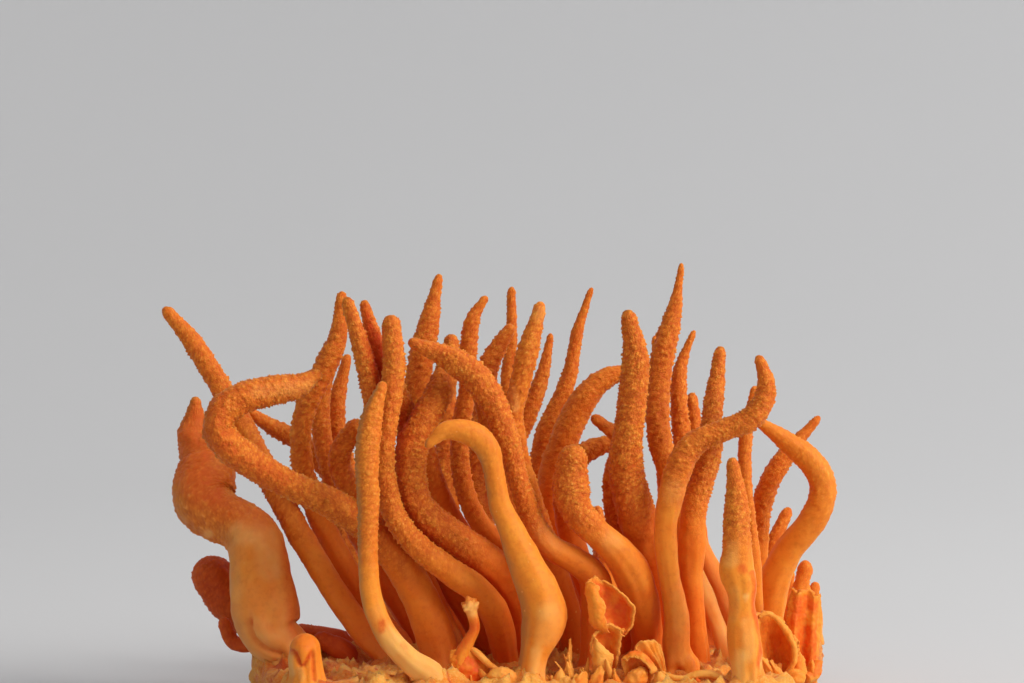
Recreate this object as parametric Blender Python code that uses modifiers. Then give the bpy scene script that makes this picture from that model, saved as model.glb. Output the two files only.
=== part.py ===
"""A bunch of cultivated cordyceps: 55 curling orange clubs that stand on one mat of mycelium.

The mat was cut off flat underneath, so the bunch rests on the cut. The origin is the middle of
that cut face, +Z is up, and the bunch's front looks along -Y.
"""

import math

import bmesh
import bpy
import numpy as np
from mathutils import Vector, noise

MM = 0.001

# Driving sizes, in millimetres
MAT_HEIGHT = 8.0
MAT_MARGIN = 1.9  # mat beyond the outermost clubs
MAT_MIDDLE = (4.0, -6.0)
MAT_REACH = (37.0, 27.0)  # half its least width and depth
FIT_GAP = 0.3  # between pieces that touch in the real bunch
CLUB_GAP = 0.55  # between neighbouring clubs
SKIN_WALL = 0.8
FLARE = 1.04  # a faceted tube's corners stand out by this much

# The front view that the clubs were drawn in: up is measured from its lower edge, and a
# millimetre is true at the drawing's own depth
VIEW_TILT = math.radians(3)
VIEW_DISTANCE = 500.0
VIEW_DEPTH = -20.0
VIEW_MIDDLE_UP = 51.2
VIEW_MIDDLE_HEIGHT = 58.0
EYE = np.array(
    [
        0.0,
        VIEW_DEPTH - VIEW_DISTANCE * math.cos(VIEW_TILT),
        VIEW_MIDDLE_HEIGHT + VIEW_DISTANCE * math.sin(VIEW_TILT),
    ]
)

ROUTE_STEP = 1.5  # spacing of the points that a club's route is worked out at
FOOT = 0.6  # height of a club's straight foot, and of the clear stretch above it, in radii
RING_PITCH = 10.5  # a straight club has a ring this often
RING_TURN = math.radians(50)  # and one for each such bend
RING_SWELL = 1.5  # and one for each such change of radius
TIP_RINGS = ((0.6, 0.8), (0.92, 0.4))  # radii beyond the tip's middle, share of its radius
LEAN_ROUNDS = 160  # times that crowded clubs are pushed apart
LEAN_EASED = 130  # of them, those in which the clubs are smoothed as well
LEAN_SPREAD = 6  # points on each side that follow a push
NEIGHBOUR_REACH = 4.0  # clubs with a wider gap between them aren't looked at
NEIGHBOUR_ROUNDS = 6  # the list of neighbours is drawn up anew this often

# Each club from its foot to the middle of its round tip: (across, up, depth, radius)
CLUBS = {
    "slim_front": [
        (-12, -0.3, -34, 2.2), (-14.2, 2.2, -34, 2.0), (-17.3, 5.2, -33.5, 1.75), (-19.6, 8.6, -33, 1.65),
        (-21.0, 12.5, -33, 1.6), (-21.6, 17, -33, 1.55), (-21.6, 22, -33, 1.5), (-21.5, 26.5, -33, 1.6),
        (-21.8, 31, -33, 1.75), (-21.7, 35.5, -33, 1.8), (-21.1, 39.5, -32.5, 1.65),
        (-20.2, 42.5, -32, 1.35), (-19.6, 44.1, -32, 0.95),
    ],
    "front_crook": [
        (2.9, 0, -32, 2.1), (3.1, 3.5, -32, 2.0), (4.2, 7, -31.5, 2.85), (4.9, 10, -31, 3.35),
        (4.3, 13, -31, 3.2), (2.2, 17.5, -31, 2.65), (0.6, 21.5, -31, 2.15), (-1.1, 25, -31, 1.75),
        (-2.3, 28.5, -31, 1.6), (-2.7, 31.7, -31, 1.5), (-3.4, 34.6, -31, 1.85), (-5.1, 36.8, -31, 1.95),
        (-7.4, 37.8, -31.5, 1.9), (-9.6, 38.0, -32, 1.7), (-11.4, 37.1, -32.5, 1.35),
        (-12.1, 36.2, -32.5, 0.95),
    ],
    "front_stout": [
        (35.3, -0.2, -34, 2.5), (34.9, 4, -34, 2.35), (34.4, 9, -33.5, 2.25), (34.4, 13, -33, 2.1),
        (33.9, 17, -33, 2.45), (33.7, 21.5, -33, 2.15), (33.7, 26, -32.5, 1.95), (33.5, 29.5, -32, 1.65),
        (33.2, 32.1, -32, 1.3),
    ],
    "stub_left": [(-30.7, -0.5, -33, 2.5), (-30.8, 2.5, -33, 2.5), (-31, 4.7, -33, 2.4)],
    "sprout_with_knob": [
        (-8.0, 0.3, -31, 1.3), (-7.9, 3.4, -31, 1.2), (-6.7, 6, -31, 0.95), (-5.6, 8, -31, 0.8),
        (-5.6, 9.6, -31, 0.7), (-5.9, 10.2, -31, 1.0), (-6.2, 11.2, -31, 0.95),
    ],
    "bent_left": [
        (12.3, 3, -21, 2.3), (12.5, 8, -22, 2.3), (12.9, 13, -23, 2.5), (11.4, 17.2, -24, 2.25),
        (8.3, 18.8, -24.5, 2.05), (5.6, 20.6, -25, 1.9), (3.5, 23.6, -25, 1.7), (2.0, 27.3, -25.5, 1.6),
        (0.8, 31, -26, 1.6), (-0.3, 35, -26, 1.75), (-1.6, 39, -26, 2.0), (-3.1, 42.5, -26, 2.1),
        (-5.4, 45.8, -26, 2.2), (-8.3, 48.0, -26, 2.0), (-11.3, 49.6, -26, 1.7), (-14.1, 50.7, -26.5, 1.2),
    ],
    "round_head": [
        (20.4, 2.5, -17, 2.4), (20.3, 7, -19, 2.4), (19.4, 12, -22, 2.8), (17.9, 16.5, -24, 2.8),
        (15.2, 20.3, -25, 2.4), (12.2, 23, -25.5, 2.2), (9.8, 25.6, -26, 2.35), (8.8, 28.8, -26, 2.8),
        (8.9, 31.5, -26, 2.6), (9.1, 33.2, -26, 2.2),
    ],
    "long_elbow": [
        (25.1, 1.5, -24, 2.5), (24.6, 5, -24.5, 2.1), (24.7, 9.5, -25, 1.95), (24.0, 13.5, -25, 1.6),
        (23.1, 19, -25, 1.7), (23.1, 24.5, -25, 1.75), (24.2, 29.5, -25, 2.0), (25.4, 33.2, -25, 2.0),
        (27.6, 36.1, -25, 1.85), (31, 37.6, -25, 1.65), (34.2, 38.7, -25, 1.7), (36.6, 40.4, -25, 1.85),
        (38.0, 43.3, -25, 1.65), (38.1, 45.9, -25, 1.4), (37.4, 47.8, -25, 1.1),
    ],
    "tall_rough": [
        (22.6, 4, -12, 2.6), (22.5, 9, -13, 2.6), (21.6, 16, -15, 2.7), (20.0, 22, -18, 3.0),
        (18.2, 27, -20, 2.9), (17.1, 32, -21, 2.55), (17.4, 37, -22, 2.3), (18.0, 42, -22, 2.15),
        (18.6, 47.5, -22, 2.05), (18.2, 51.5, -22, 1.95), (17.7, 53.9, -22, 1.6),
    ],
    "trio_left": [
        (-8.5, 3.5, -11, 2.0), (-11, 10, -14, 2.0), (-14.7, 18, -17.5, 2.0), (-17.5, 26, -20.5, 1.9),
        (-19.3, 34, -23, 1.8), (-20.5, 40, -25, 1.6), (-21.4, 45.5, -26, 1.5), (-22.5, 50, -26, 1.5),
        (-23.6, 53.5, -26, 1.5), (-24.4, 56.2, -26, 1.3),
    ],
    "trio_middle": [
        (-3, 3.5, -8, 2.0), (-6, 10, -11, 2.0), (-10.5, 18, -14.5, 2.0), (-13.5, 26, -17, 1.9),
        (-15.2, 33, -18, 1.8), (-15.6, 38.5, -19, 1.8), (-17, 43, -21.5, 1.7), (-19, 47, -23, 1.6),
        (-20.4, 50.5, -23, 1.55), (-21.3, 53.8, -23, 1.45), (-21.9, 56.0, -23, 1.1),
    ],
    "long_s": [
        (-1.0, 2.3, -17, 2.1), (-1.4, 5.5, -19, 2.1), (-2.2, 9.5, -22, 2.2), (-4.0, 12.6, -24.5, 2.2),
        (-6.6, 14.9, -26, 2.1), (-10.5, 17.6, -27, 2.0), (-14.3, 20.6, -27.5, 1.9), (-17.2, 24.3, -28, 1.75),
        (-18.6, 28.3, -28, 1.65), (-19.1, 33, -28, 1.55), (-18.9, 38, -28, 1.5), (-18.1, 42.5, -27.5, 1.6),
        (-17.7, 46.5, -27, 1.75), (-17.9, 50.5, -26.5, 1.8), (-18.1, 53.4, -26.5, 1.5),
    ],
    "thick_s": [
        (2.2, 3, -13, 2.4), (2.0, 7, -14, 2.5), (1.2, 11, -16, 2.6), (-1.2, 15.8, -19, 2.7),
        (-4.5, 18.8, -21, 2.7), (-8, 21.3, -22.5, 2.65), (-11.8, 24, -23, 2.55), (-14.3, 27, -23, 2.4),
        (-15.3, 30.3, -23, 2.4), (-15.3, 33.6, -23, 2.5), (-14.3, 37, -23, 2.4), (-12.6, 40.3, -22.5, 2.25),
        (-11, 43.3, -21.5, 2.1), (-9.8, 46.5, -19.5, 1.8), (-9.2, 49.3, -18, 1.5), (-9.1, 50.9, -17.5, 1.2),
    ],
    "great_hook": [
        (-10.6, 1.8, -22, 3.0), (-11.2, 5.5, -22, 3.0), (-12.7, 10, -22, 2.9), (-15, 15, -22.5, 2.7),
        (-18, 19.5, -23.5, 2.5), (-21.5, 23.2, -25, 2.4), (-25.5, 26, -26, 2.3), (-30, 28.3, -27, 2.2),
        (-34.5, 30.3, -28, 2.15), (-39, 33, -29, 2.35), (-42.6, 35.6, -30, 2.45), (-44.1, 38.5, -30, 2.35),
        (-43.1, 41.1, -29.5, 2.3), (-40.3, 42.8, -28.5, 2.4), (-36.5, 43.8, -27, 2.3),
        (-33, 44.3, -25.5, 2.0), (-30.8, 45.2, -24.5, 1.5), (-29.6, 46.0, -24, 1.0),
    ],
    "dark_thumb": [
        (6.0, 4, -4.5, 1.9), (5.2, 10, -7, 1.9), (3, 18, -10, 1.8), (0.2, 25, -13, 1.7),
        (-1.7, 31, -15, 1.6), (-2.9, 37, -16.5, 1.6), (-3.9, 42, -17, 1.65), (-4.0, 45.8, -17.5, 1.7),
        (-3.1, 48.4, -17.5, 1.55), (-1.8, 50.9, -17.5, 1.25), (-0.5, 52.9, -17.5, 0.9),
    ],
    "smooth_thumb": [
        (9.2, 4.5, -10, 2.0), (8.5, 10, -12.5, 2.0), (6.3, 17, -16, 1.9), (4, 24, -18.5, 1.8),
        (2, 30, -20, 1.7), (0.6, 36, -21, 1.6), (0.2, 40, -21.5, 1.5), (0.8, 43.3, -21.5, 1.45),
        (1.6, 46, -22, 1.65), (2.1, 48.5, -22, 1.75), (2.7, 51, -22, 1.7), (3.5, 53.6, -22, 1.5),
        (4.0, 55.6, -22, 1.25),
    ],
    "behind_rough": [
        (17.5, 4.5, -6, 1.7), (17.8, 11, -9, 1.7), (17.2, 18, -12, 1.6), (15.6, 24, -14, 1.5),
        (14.9, 29, -15, 1.35), (15.4, 33.5, -15, 1.3), (16.2, 37, -15, 1.1),
    ],
    "bumpy_right": [
        (27.8, 3, -16, 1.9), (27.5, 8, -17, 1.75), (27.1, 13.5, -18, 1.7), (26.9, 18.5, -19, 1.85),
        (27.1, 22.5, -19.5, 2.2), (27.4, 26.5, -20, 1.85), (28.5, 30.5, -20, 1.8), (29.6, 34, -20, 1.85),
        (30.0, 37.3, -19, 1.7), (30.1, 41, -18, 1.5), (30.6, 44, -17, 1.4), (30.8, 47.2, -16, 1.4),
        (31.1, 48.9, -16, 1.2),
    ],
    "pale_leaner": [
        (32.3, 2.9, -13, 1.6), (31.9, 5.5, -13, 1.35), (31, 8.3, -12.5, 1.3), (29.9, 11, -12, 1.35),
        (28.7, 13.7, -11.5, 1.35), (27.2, 17.5, -11, 1.3), (25.7, 22, -10.5, 1.2), (25.2, 26, -10, 1.0),
    ],
    "thread": [
        (36.6, 3.5, -12, 1.2), (36.6, 9, -13, 1.15), (36.5, 15, -14, 1.1), (36.0, 21, -15, 1.05),
        (35.3, 27, -15.5, 1.0), (34.9, 32, -16, 1.05), (35.0, 36, -16, 1.05), (35.5, 40, -16, 0.95),
        (36.3, 43.6, -16, 0.75),
    ],
    "tallest": [
        (34.0, 5.2, 1, 1.9), (33.2, 9, 0, 1.9), (31.2, 14, -2, 1.8), (28.7, 18.7, -4, 1.7),
        (26.5, 24, -6, 1.6), (24.2, 29.5, -7, 1.6), (22.6, 34.5, -8, 1.75), (21.8, 39.5, -8, 1.9),
        (21.9, 44, -8, 1.8), (22.4, 48, -8, 1.8), (23.2, 51.5, -8, 1.65), (24.1, 55, -8, 1.35),
        (24.9, 58.5, -8, 1.1), (25.3, 61.7, -8, 0.85),
    ],
    "behind_tallest": [
        (24, 6.5, 14, 1.5), (24, 14, 14, 1.5), (23.5, 24, 13, 1.4), (22.8, 34, 12, 1.3),
        (22.1, 42, 11, 1.2), (21.7, 48, 11, 1.0), (21.5, 51, 11, 0.8),
    ],
    "back_right_prong": [
        (29.5, 5, 2, 1.8), (29, 11, 2, 1.7), (28.2, 18, 2, 1.7), (27.2, 25, 1, 1.6), (26.3, 32, 0, 1.5),
        (25.4, 38, -1, 1.45), (25, 43, -2, 1.25), (25.2, 46.8, -2, 1.15), (25.9, 49.6, -2, 1.0),
        (26.9, 51.8, -2, 0.8),
    ],
    "back_right_stub": [
        (30.2, 6, 8, 1.5), (29.3, 12, 8, 1.4), (27.9, 18.5, 7, 1.35), (27.3, 25, 6, 1.3),
        (27.5, 32, 5, 1.3), (27.6, 37.5, 4, 1.25), (27.1, 42.1, 4, 1.1),
    ],
    "right_sickle": [
        (38.2, 5.6, 5, 2.4), (38.5, 10.5, 4.5, 2.4), (39.2, 15, 3, 2.35), (41.1, 19.3, 2, 2.2),
        (43.7, 22.6, 1, 2.1), (45.9, 25.7, 0, 2.1), (46.7, 29, 0, 2.0), (45.8, 32, 0, 1.95),
        (43.4, 34.5, 0, 1.8), (40.9, 36.4, 0, 1.65), (38.8, 37.8, 0, 1.4), (37.6, 38.8, 0, 1.05),
    ],
    "right_cross": [
        (36.6, 6, 12, 1.6), (36.9, 12, 12, 1.5), (37, 18, 11, 1.5), (37, 23, 10, 1.5),
        (37.7, 27.5, 9, 1.55), (39.2, 31.3, 8, 1.55), (41.5, 34.6, 8, 1.4), (43.7, 37.2, 8, 1.25),
        (45.3, 39.0, 8, 0.95),
    ],
    "right_small": [
        (38.6, 7, 18, 1.5), (38.6, 13, 18, 1.45), (38.8, 18.5, 18, 1.4), (39.7, 22.2, 18, 1.35),
        (41.0, 25.0, 18, 1.1),
    ],
    "edge_tall": [(42.6, 6, 12, 2.0), (42.7, 10, 12, 1.9), (43.3, 14, 12, 1.7), (43.8, 16.6, 12, 1.4)],
    "edge_outer": [(44.9, 6.5, 16, 1.6), (45.2, 10, 16, 1.55), (45.4, 13.6, 16, 1.2)],
    "edge_inner": [(40.6, 7, 20, 1.4), (41, 11, 20, 1.3), (41.6, 15.5, 20, 1.1)],
    "tall_back_left": [
        (1.5, 5.5, 2, 2.1), (-0.5, 10, 1, 2.0), (-4.5, 17, -2, 1.9), (-8.8, 24, -5, 1.8),
        (-11.2, 28.7, -6.5, 1.7), (-12.6, 33, -8, 1.7), (-13.8, 37.3, -9, 1.75), (-14.5, 41.5, -10, 1.9),
        (-14.1, 45.5, -10.5, 1.95), (-13.4, 49.5, -10.5, 1.9), (-12.7, 53, -10.5, 1.75),
        (-11.9, 56.5, -10.5, 1.4), (-11.2, 59.9, -10.5, 1.05),
    ],
    "curved_back": [
        (8.5, 5, 1, 1.9), (7.2, 9.5, 0.5, 1.9), (4, 15.5, -2, 1.8), (-0.5, 20, -4.5, 1.7),
        (-4.4, 23.3, -6.5, 1.55), (-6.3, 26.7, -7.5, 1.5), (-7.5, 31, -8.5, 1.45), (-7.9, 36, -9, 1.4),
        (-7.2, 41, -9.5, 1.35), (-6.5, 46, -10, 1.3), (-6.5, 50, -10, 1.3), (-6.2, 53.5, -10, 1.25),
        (-5.2, 56.2, -10, 0.95), (-4.3, 57.3, -10, 0.7),
    ],
    "far_thin": [
        (3, 8, 26, 1.3), (2.6, 15, 26, 1.3), (1.8, 24, 26, 1.25), (0.6, 33, 26, 1.2), (-0.6, 41, 25, 1.1),
        (-0.7, 46, 25, 1.0), (-0.1, 50.5, 25, 0.9), (-0.2, 55, 25, 0.85), (-0.1, 58.5, 25, 0.75),
    ],
    "middle_leaner": [
        (3.5, 6, 9, 1.8), (2.5, 12, 8, 1.8), (1, 19, 6.5, 1.7), (-0.5, 26, 4, 1.6), (-0.8, 31, 2, 1.5),
        (0, 35, 1, 1.5), (1.7, 38.5, 0, 1.45), (3.0, 41.6, 0, 1.3), (4.1, 44.7, 0, 1.15),
        (4.9, 47.3, 0, 1.05), (5.4, 49.6, 0, 0.9), (5.7, 51.6, 0, 0.65),
    ],
    "far_prong": [
        (9, 8, 24, 2.0), (8, 14, 24, 2.0), (6, 22, 23, 2.0), (4.6, 29, 22, 1.9), (4.6, 34.5, 21, 1.8),
        (5.6, 38.5, 20, 1.7), (7.2, 42, 20, 1.45), (8.5, 45.6, 20, 1.2), (9.2, 49.5, 20, 1.0),
        (9.9, 53, 20, 0.9), (10.8, 56.3, 20, 0.85), (11.6, 58.3, 20, 0.75),
    ],
    "far_arm": [
        (12, 7.5, 17, 2.2), (10.5, 14, 17, 2.2), (7.5, 22, 15.5, 2.2), (5.8, 28, 13.5, 2.15),
        (6.7, 33.5, 12, 2.2), (8.4, 37.9, 11.5, 2.2), (10.0, 41.3, 11, 2.1), (11.9, 43.9, 11, 1.85),
        (14.2, 45.8, 11, 1.65), (16.7, 46.6, 11, 1.4), (18.4, 46.6, 11, 1.1),
    ],
    "peeping_tip": [
        (20.5, 5.5, 2, 1.6), (20.3, 12, 1, 1.5), (19.5, 19, -1, 1.45), (18.6, 26, -3, 1.4),
        (17.9, 32, -4, 1.35), (16.8, 36, -5, 1.3), (14.8, 38, -5, 1.25), (13.1, 39.2, -5, 1.1),
    ],
    "cross_arm": [
        (14, 6, 7, 2.0), (12, 13, 6.5, 2.0), (9.5, 20, 5, 1.9), (8, 26, 3.5, 1.8), (8.2, 31, 2, 1.7),
        (10, 34, 1, 1.65), (12.6, 35.3, 1, 1.6), (15.2, 36.1, 1, 1.4), (17, 36.5, 1, 1.1),
    ],
    "far_left": [
        (-18.3, 2.5, -16, 2.1), (-20.9, 6, -14.5, 2.0), (-24.2, 10.3, -12.5, 1.95), (-27.3, 14.8, -10.5, 1.9),
        (-30.3, 19.6, -8.5, 1.9), (-33, 24.4, -6.5, 1.85), (-35.4, 29, -3.5, 1.8), (-37.8, 33.5, 0.5, 1.75),
        (-40.1, 38.1, 4, 1.75), (-42.2, 41.9, 5, 1.7), (-44.4, 45.5, 6, 1.65), (-46.7, 49.4, 7, 1.55),
        (-49.2, 52.8, 8, 1.45), (-51.3, 55.2, 8, 1.15),
    ],
    "cross_left": [
        (-14.5, 6.5, 12, 1.9), (-17.5, 13, 11, 1.8), (-21, 20, 10, 1.7), (-24.5, 27, 9, 1.6),
        (-28.2, 32.6, 8, 1.5), (-32, 36.3, 8, 1.4), (-35.5, 38.2, 8, 1.3), (-38.3, 39.7, 8, 1.2),
        (-40.5, 41.2, 8, 0.9),
    ],
    "back_left_tall": [
        (-17, 4, -3, 2.1), (-19.8, 9, -3, 2.0), (-23.3, 14.5, -3.5, 1.9), (-26.5, 20, -4, 1.8),
        (-29.2, 25.5, -4.5, 1.75), (-31, 30.5, -7.5, 1.65), (-31.7, 35, -10.5, 1.6), (-31.5, 39, -12, 1.55),
        (-30.3, 43, -12, 1.65), (-28.3, 46.8, -12, 1.75), (-26.5, 50.5, -12, 1.6), (-25.8, 54, -12, 1.3),
        (-25.6, 57.3, -12, 1.1),
    ],
    "back_left_inner": [
        (-12.6, 4.5, 0, 1.9), (-15.6, 10, 0.5, 1.8), (-20, 17, 1, 1.7), (-23.8, 24, 1.5, 1.65),
        (-27, 31, 1, 1.6), (-28.5, 37, 1, 1.5), (-28.6, 42, 1, 1.4), (-27.2, 47.5, 1, 1.0),
    ],
    "back_left_red": [
        (-9, 5.5, 7, 1.9), (-12, 11, 7, 1.8), (-16.5, 18, 7, 1.7), (-20.5, 25, 7, 1.6), (-24, 31, 7, 1.5),
        (-26.1, 37, 6, 1.4), (-26.3, 42, 6, 1.35), (-25.4, 46, 6, 1.25), (-24.9, 48, 6, 1.0),
    ],
    "back_left_dark": [
        (-6.5, 5, 0, 1.9), (-10.2, 11, -0.5, 1.8), (-15.5, 18, -2, 1.75), (-20.5, 24.5, -4, 1.7),
        (-24.5, 29.5, -5, 1.7), (-26, 33, -6, 1.7), (-25.1, 36.2, -7, 1.6), (-23.6, 38.2, -8, 1.3),
    ],
    "fat_pale": [
        (-33, 3, -14, 3.2), (-35.6, 6.5, -13.8, 4.2), (-36.8, 10.5, -13, 5.1), (-37.6, 15, -12, 4.85),
        (-38.2, 19.5, -11, 4.4), (-39.3, 22.3, -9, 4.1), (-42.1, 24.3, -7, 3.8), (-45.0, 25.6, -5, 4.1),
        (-46.4, 28.0, -3, 4.7), (-46.0, 31, -1, 4.6), (-46.1, 34, 1, 3.6), (-47.2, 37, 2, 3.2),
        (-47.6, 38.9, 2, 2.3), (-47.6, 40.6, 2, 1.3), (-47.5, 41.7, 2, 1.0),
    ],
    "left_lump": [(-34.8, 5.2, 3, 2.6), (-39, 9.3, 3, 2.9), (-42.6, 13.1, 2, 3.7), (-44.4, 15.4, 2, 3.4)],
    "left_finger": [
        (-36.6, 3.5, -8, 1.3), (-38.4, 5.7, -8, 1.15), (-40.8, 5.6, -7.5, 1.1), (-42.5, 6.9, -7, 1.15),
        (-43.1, 8.7, -7, 1.0),
    ],
    "behind_left_outer": [
        (-15, 7.5, 18, 2.0), (-17.8, 11, 20, 2.0), (-21.3, 16, 23, 1.9), (-24.2, 21, 26, 1.7),
        (-25.6, 25.5, 29, 1.4), (-26, 28.5, 31, 1.1),
    ],
    "behind_left": [
        (-8, 8, 20, 2.1), (-8.7, 14, 22, 2.1), (-9.7, 22, 24, 2.1), (-9.9, 31, 26, 1.9),
        (-9.6, 39, 27, 1.6), (-9.4, 44.5, 27, 1.2),
    ],
    "behind_middle": [
        (-1.5, 7.5, 17, 2.0), (-2.6, 14, 20, 2.0), (-4.2, 22, 25, 1.9), (-5.0, 31, 29, 1.7),
        (-5.0, 38, 31, 1.4), (-4.9, 42.5, 32, 1.1),
    ],
    "behind_right": [
        (16, 8.3, 25, 2.0), (15.4, 13, 28, 2.0), (14.2, 18, 31, 1.9),
        (13.2, 22.5, 33, 1.5), (12.9, 25.2, 34.5, 1.1),
    ],
    "behind_right_outer": [
        (22.5, 8, 22, 1.9), (23.5, 14, 27, 1.8), (24.5, 21, 32, 1.6), (24.8, 27, 35, 1.3),
        (24.5, 30, 36, 1.0),
    ],
    "low_back_right": [(29.5, 7.7, 20, 1.8), (30.3, 11, 24, 1.7), (30.5, 13.5, 28, 1.4)],
    "low_back_left": [(-25.5, 6.0, 4, 1.6), (-28.2, 7.3, 6, 1.3), (-31.5, 7.6, 8, 1.3)],
    "low_front_left": [(-24.6, 3.1, -12, 1.7), (-26.2, 5.4, -12, 1.7), (-28.3, 6.3, -11.5, 1.4)],
    "low_far_right": [(34.2, 8, 23, 1.7), (35.8, 12, 28, 1.5), (37, 15.5, 32, 1.1)],
}
FINE_ROUND = 2  # bevel resolution of the clubs in front: eight sides
PLAIN_ROUND = 1  # and of the thin ones and those behind: six sides
PLAIN_DEPTH = -7.5  # a club that stands this far back is behind
PLAIN_RADIUS = 1.25

# Lumps and flakes of mycelium on the mat, as (x, y, half length, half width, rise, turn)
LUMPS = [
    (-2.9, -33.2, 2.3, 1.6, 2.3, 10), (-18.5, -33.0, 3.2, 1.9, 1.9, -15), (-24.6, -34.0, 2.4, 1.8, 1.6, 20),
    (-21.0, -26.5, 3.0, 2.1, 2.2, -30), (8.4, -32.0, 2.5, 1.7, 2.4, 20), (8.0, -26.6, 2.0, 1.5, 2.6, 60),
    (14.8, -34.2, 2.4, 1.3, 1.6, 5), (27.3, -32.4, 2.9, 1.9, 1.9, -10), (30.2, -27.6, 2.0, 1.6, 2.4, 0),
    (38.4, -28.4, 2.2, 1.6, 2.3, 50), (40.5, -15.8, 2.0, 1.5, 2.0, 80), (43.4, -3.2, 2.0, 1.6, 2.3, 60),
    (16.0, -12.4, 2.2, 1.7, 1.8, 40), (5.4, 20.4, 1.8, 1.4, 1.8, 0),
    (-25.5, -6.5, 2.6, 2.0, 1.9, 30), (-26.0, -20.8, 2.8, 2.1, 2.1, -40), (-31.4, -4.5, 2.3, 1.7, 1.7, 10),
    (-22.6, 10.2, 2.1, 1.6, 1.8, -40), (36.6, -5.4, 1.7, 1.4, 1.7, 20),
]
# Where the torn skins grow from the mat, as (x, y, z, radius)
SKIN_FEET = [(15.0, -28.6, 0, 3.0), (20.6, -31.0, 0, 2.2), (39.3, -22.0, 0, 2.6)]
LUMP_SINK = 1.2  # how far a lump's middle lies below the mat's top
LUMP_RIM = 0.93  # a lump's middle stays within this share of the mat's outline
MAT_SIDES = 44
MAT_ROUNDING = 3.0  # smooths the hollows of its outline between clubs
# The mat's levels: height, share of its outline
MAT_LEVELS = ((0.0, 0.94), (2.4, 0.975), (5.4, 1.0), (7.4, 0.995), (8.0, 0.972))
MAT_WAVES = 0.9  # how far the mat's side swells and dips
MAT_WAVES_ROUND = 5  # how closely its swellings follow each other round the side
MAT_WAVES_UP = 0.35  # and up it
LUMP_WAVES = 0.18  # how far from round a lump is

CREAM = (0.86, 0.56, 0.24)
ORANGE = (0.82, 0.30, 0.04)
PALE_ORANGE = (0.85, 0.45, 0.14)
DARK_RED = (0.36, 0.06, 0.01)
PALE_CLUBS = {"fat_pale", "pale_leaner", "slim_front", "front_stout", "stub_left"}
DARK_CLUBS = {
    "left_lump", "left_finger", "low_back_left", "low_front_left", "back_left_dark", "dark_thumb",
}


def clear_scene():
    for thing in list(bpy.data.objects):
        bpy.data.objects.remove(thing, do_unlink=True)


def collection_named(name, hidden=False):
    group = bpy.data.collections.new(name)
    bpy.context.scene.collection.children.link(group)
    group.hide_render = hidden
    return group


def finish_material(name, colour, roughness):
    """A matt, slightly waxy surface of one colour."""
    material = bpy.data.materials.new(name)
    material.use_nodes = True
    shader = material.node_tree.nodes["Principled BSDF"]
    shader.inputs["Base Color"].default_value = (*colour, 1)
    shader.inputs["Roughness"].default_value = roughness
    shader.inputs["Metallic"].default_value = 0
    return material


def add_mesh(name, bm, group, material):
    """A new object in its collection from a bmesh that was made in millimetres."""
    bmesh.ops.scale(bm, vec=(MM, MM, MM), verts=bm.verts)
    mesh = bpy.data.meshes.new(name)
    bm.to_mesh(mesh)
    bm.free()
    mesh.shade_smooth()
    mesh.materials.append(material)
    piece = bpy.data.objects.new(name, mesh)
    group.objects.link(piece)
    return piece


def seen_at(across, up, depth):
    """The place of what the front view shows at (across, up), at this depth."""
    rise = up - VIEW_MIDDLE_UP
    sight = np.array(
        [
            across,
            VIEW_DISTANCE * math.cos(VIEW_TILT) + rise * math.sin(VIEW_TILT),
            rise * math.cos(VIEW_TILT) - VIEW_DISTANCE * math.sin(VIEW_TILT),
        ]
    )
    return EYE + sight * (depth - EYE[1]) / sight[1]


def drawn_points(drawn):
    """Rows of x, y, z and radius from a club's drawn points, with a foot that stands on the mat."""
    rows = []
    for across, up, depth, radius in drawn:
        nearness = 1 + (depth - VIEW_DEPTH) / VIEW_DISTANCE
        rows.append([*seen_at(across, up, depth), radius * nearness])
    rows[0][2] = MAT_HEIGHT + FIT_GAP
    return np.array(rows)


def smooth_route(points):
    """Rows every ROUTE_STEP along one smooth curve through the points, from foot to tip."""
    below = points[0] - [0, 0, points[1, 2] - points[0, 2], 0]
    beyond = 2 * points[-1] - points[-2]
    knots = np.vstack([below, points, beyond])
    gaps = np.sqrt(np.linalg.norm(np.diff(knots[:, :3], axis=0), axis=1))
    rows = [points[0]]
    for i in range(1, len(knots) - 2):
        before, here, after = gaps[i - 1], gaps[i], gaps[i + 1]
        chord = (knots[i + 1] - knots[i]) / here
        start = ((knots[i] - knots[i - 1]) / before * here + chord * before) / (before + here)
        end = ((knots[i + 2] - knots[i + 1]) / after * here + chord * after) / (after + here)
        for s in np.linspace(0.1, 1, 10):
            rows.append(
                (2 * s**3 - 3 * s**2 + 1) * knots[i]
                + (s**3 - 2 * s**2 + s) * here * start
                + (3 * s**2 - 2 * s**3) * knots[i + 1]
                + (s**3 - s**2) * here * end
            )
    return spaced(np.array(rows), ROUTE_STEP)


def lengths_along(rows):
    steps = np.linalg.norm(np.diff(rows[:, :3], axis=0), axis=1)
    return np.concatenate([[0], np.cumsum(steps)])


def rows_at(rows, places):
    along = lengths_along(rows)
    return np.column_stack([np.interp(places, along, column) for column in rows.T])


def spaced(rows, step):
    whole = lengths_along(rows)[-1]
    return rows_at(rows, np.linspace(0, whole, max(4, round(whole / step)) + 1))


def close_pairs(rows, club, reach):
    """Pairs of points on different clubs whose surfaces are nearer than reach."""
    first, second = [], []
    for i in range(len(rows)):
        off = rows[i + 1 :, :3] - rows[i, :3]
        limit = rows[i + 1 :, 3] + rows[i, 3] + reach
        near = np.nonzero(((off**2).sum(1) < limit**2) & (club[i + 1 :] != club[i]))[0]
        first.append(np.full(len(near), i))
        second.append(near + i + 1)
    return np.concatenate(first), np.concatenate(second)


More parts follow.
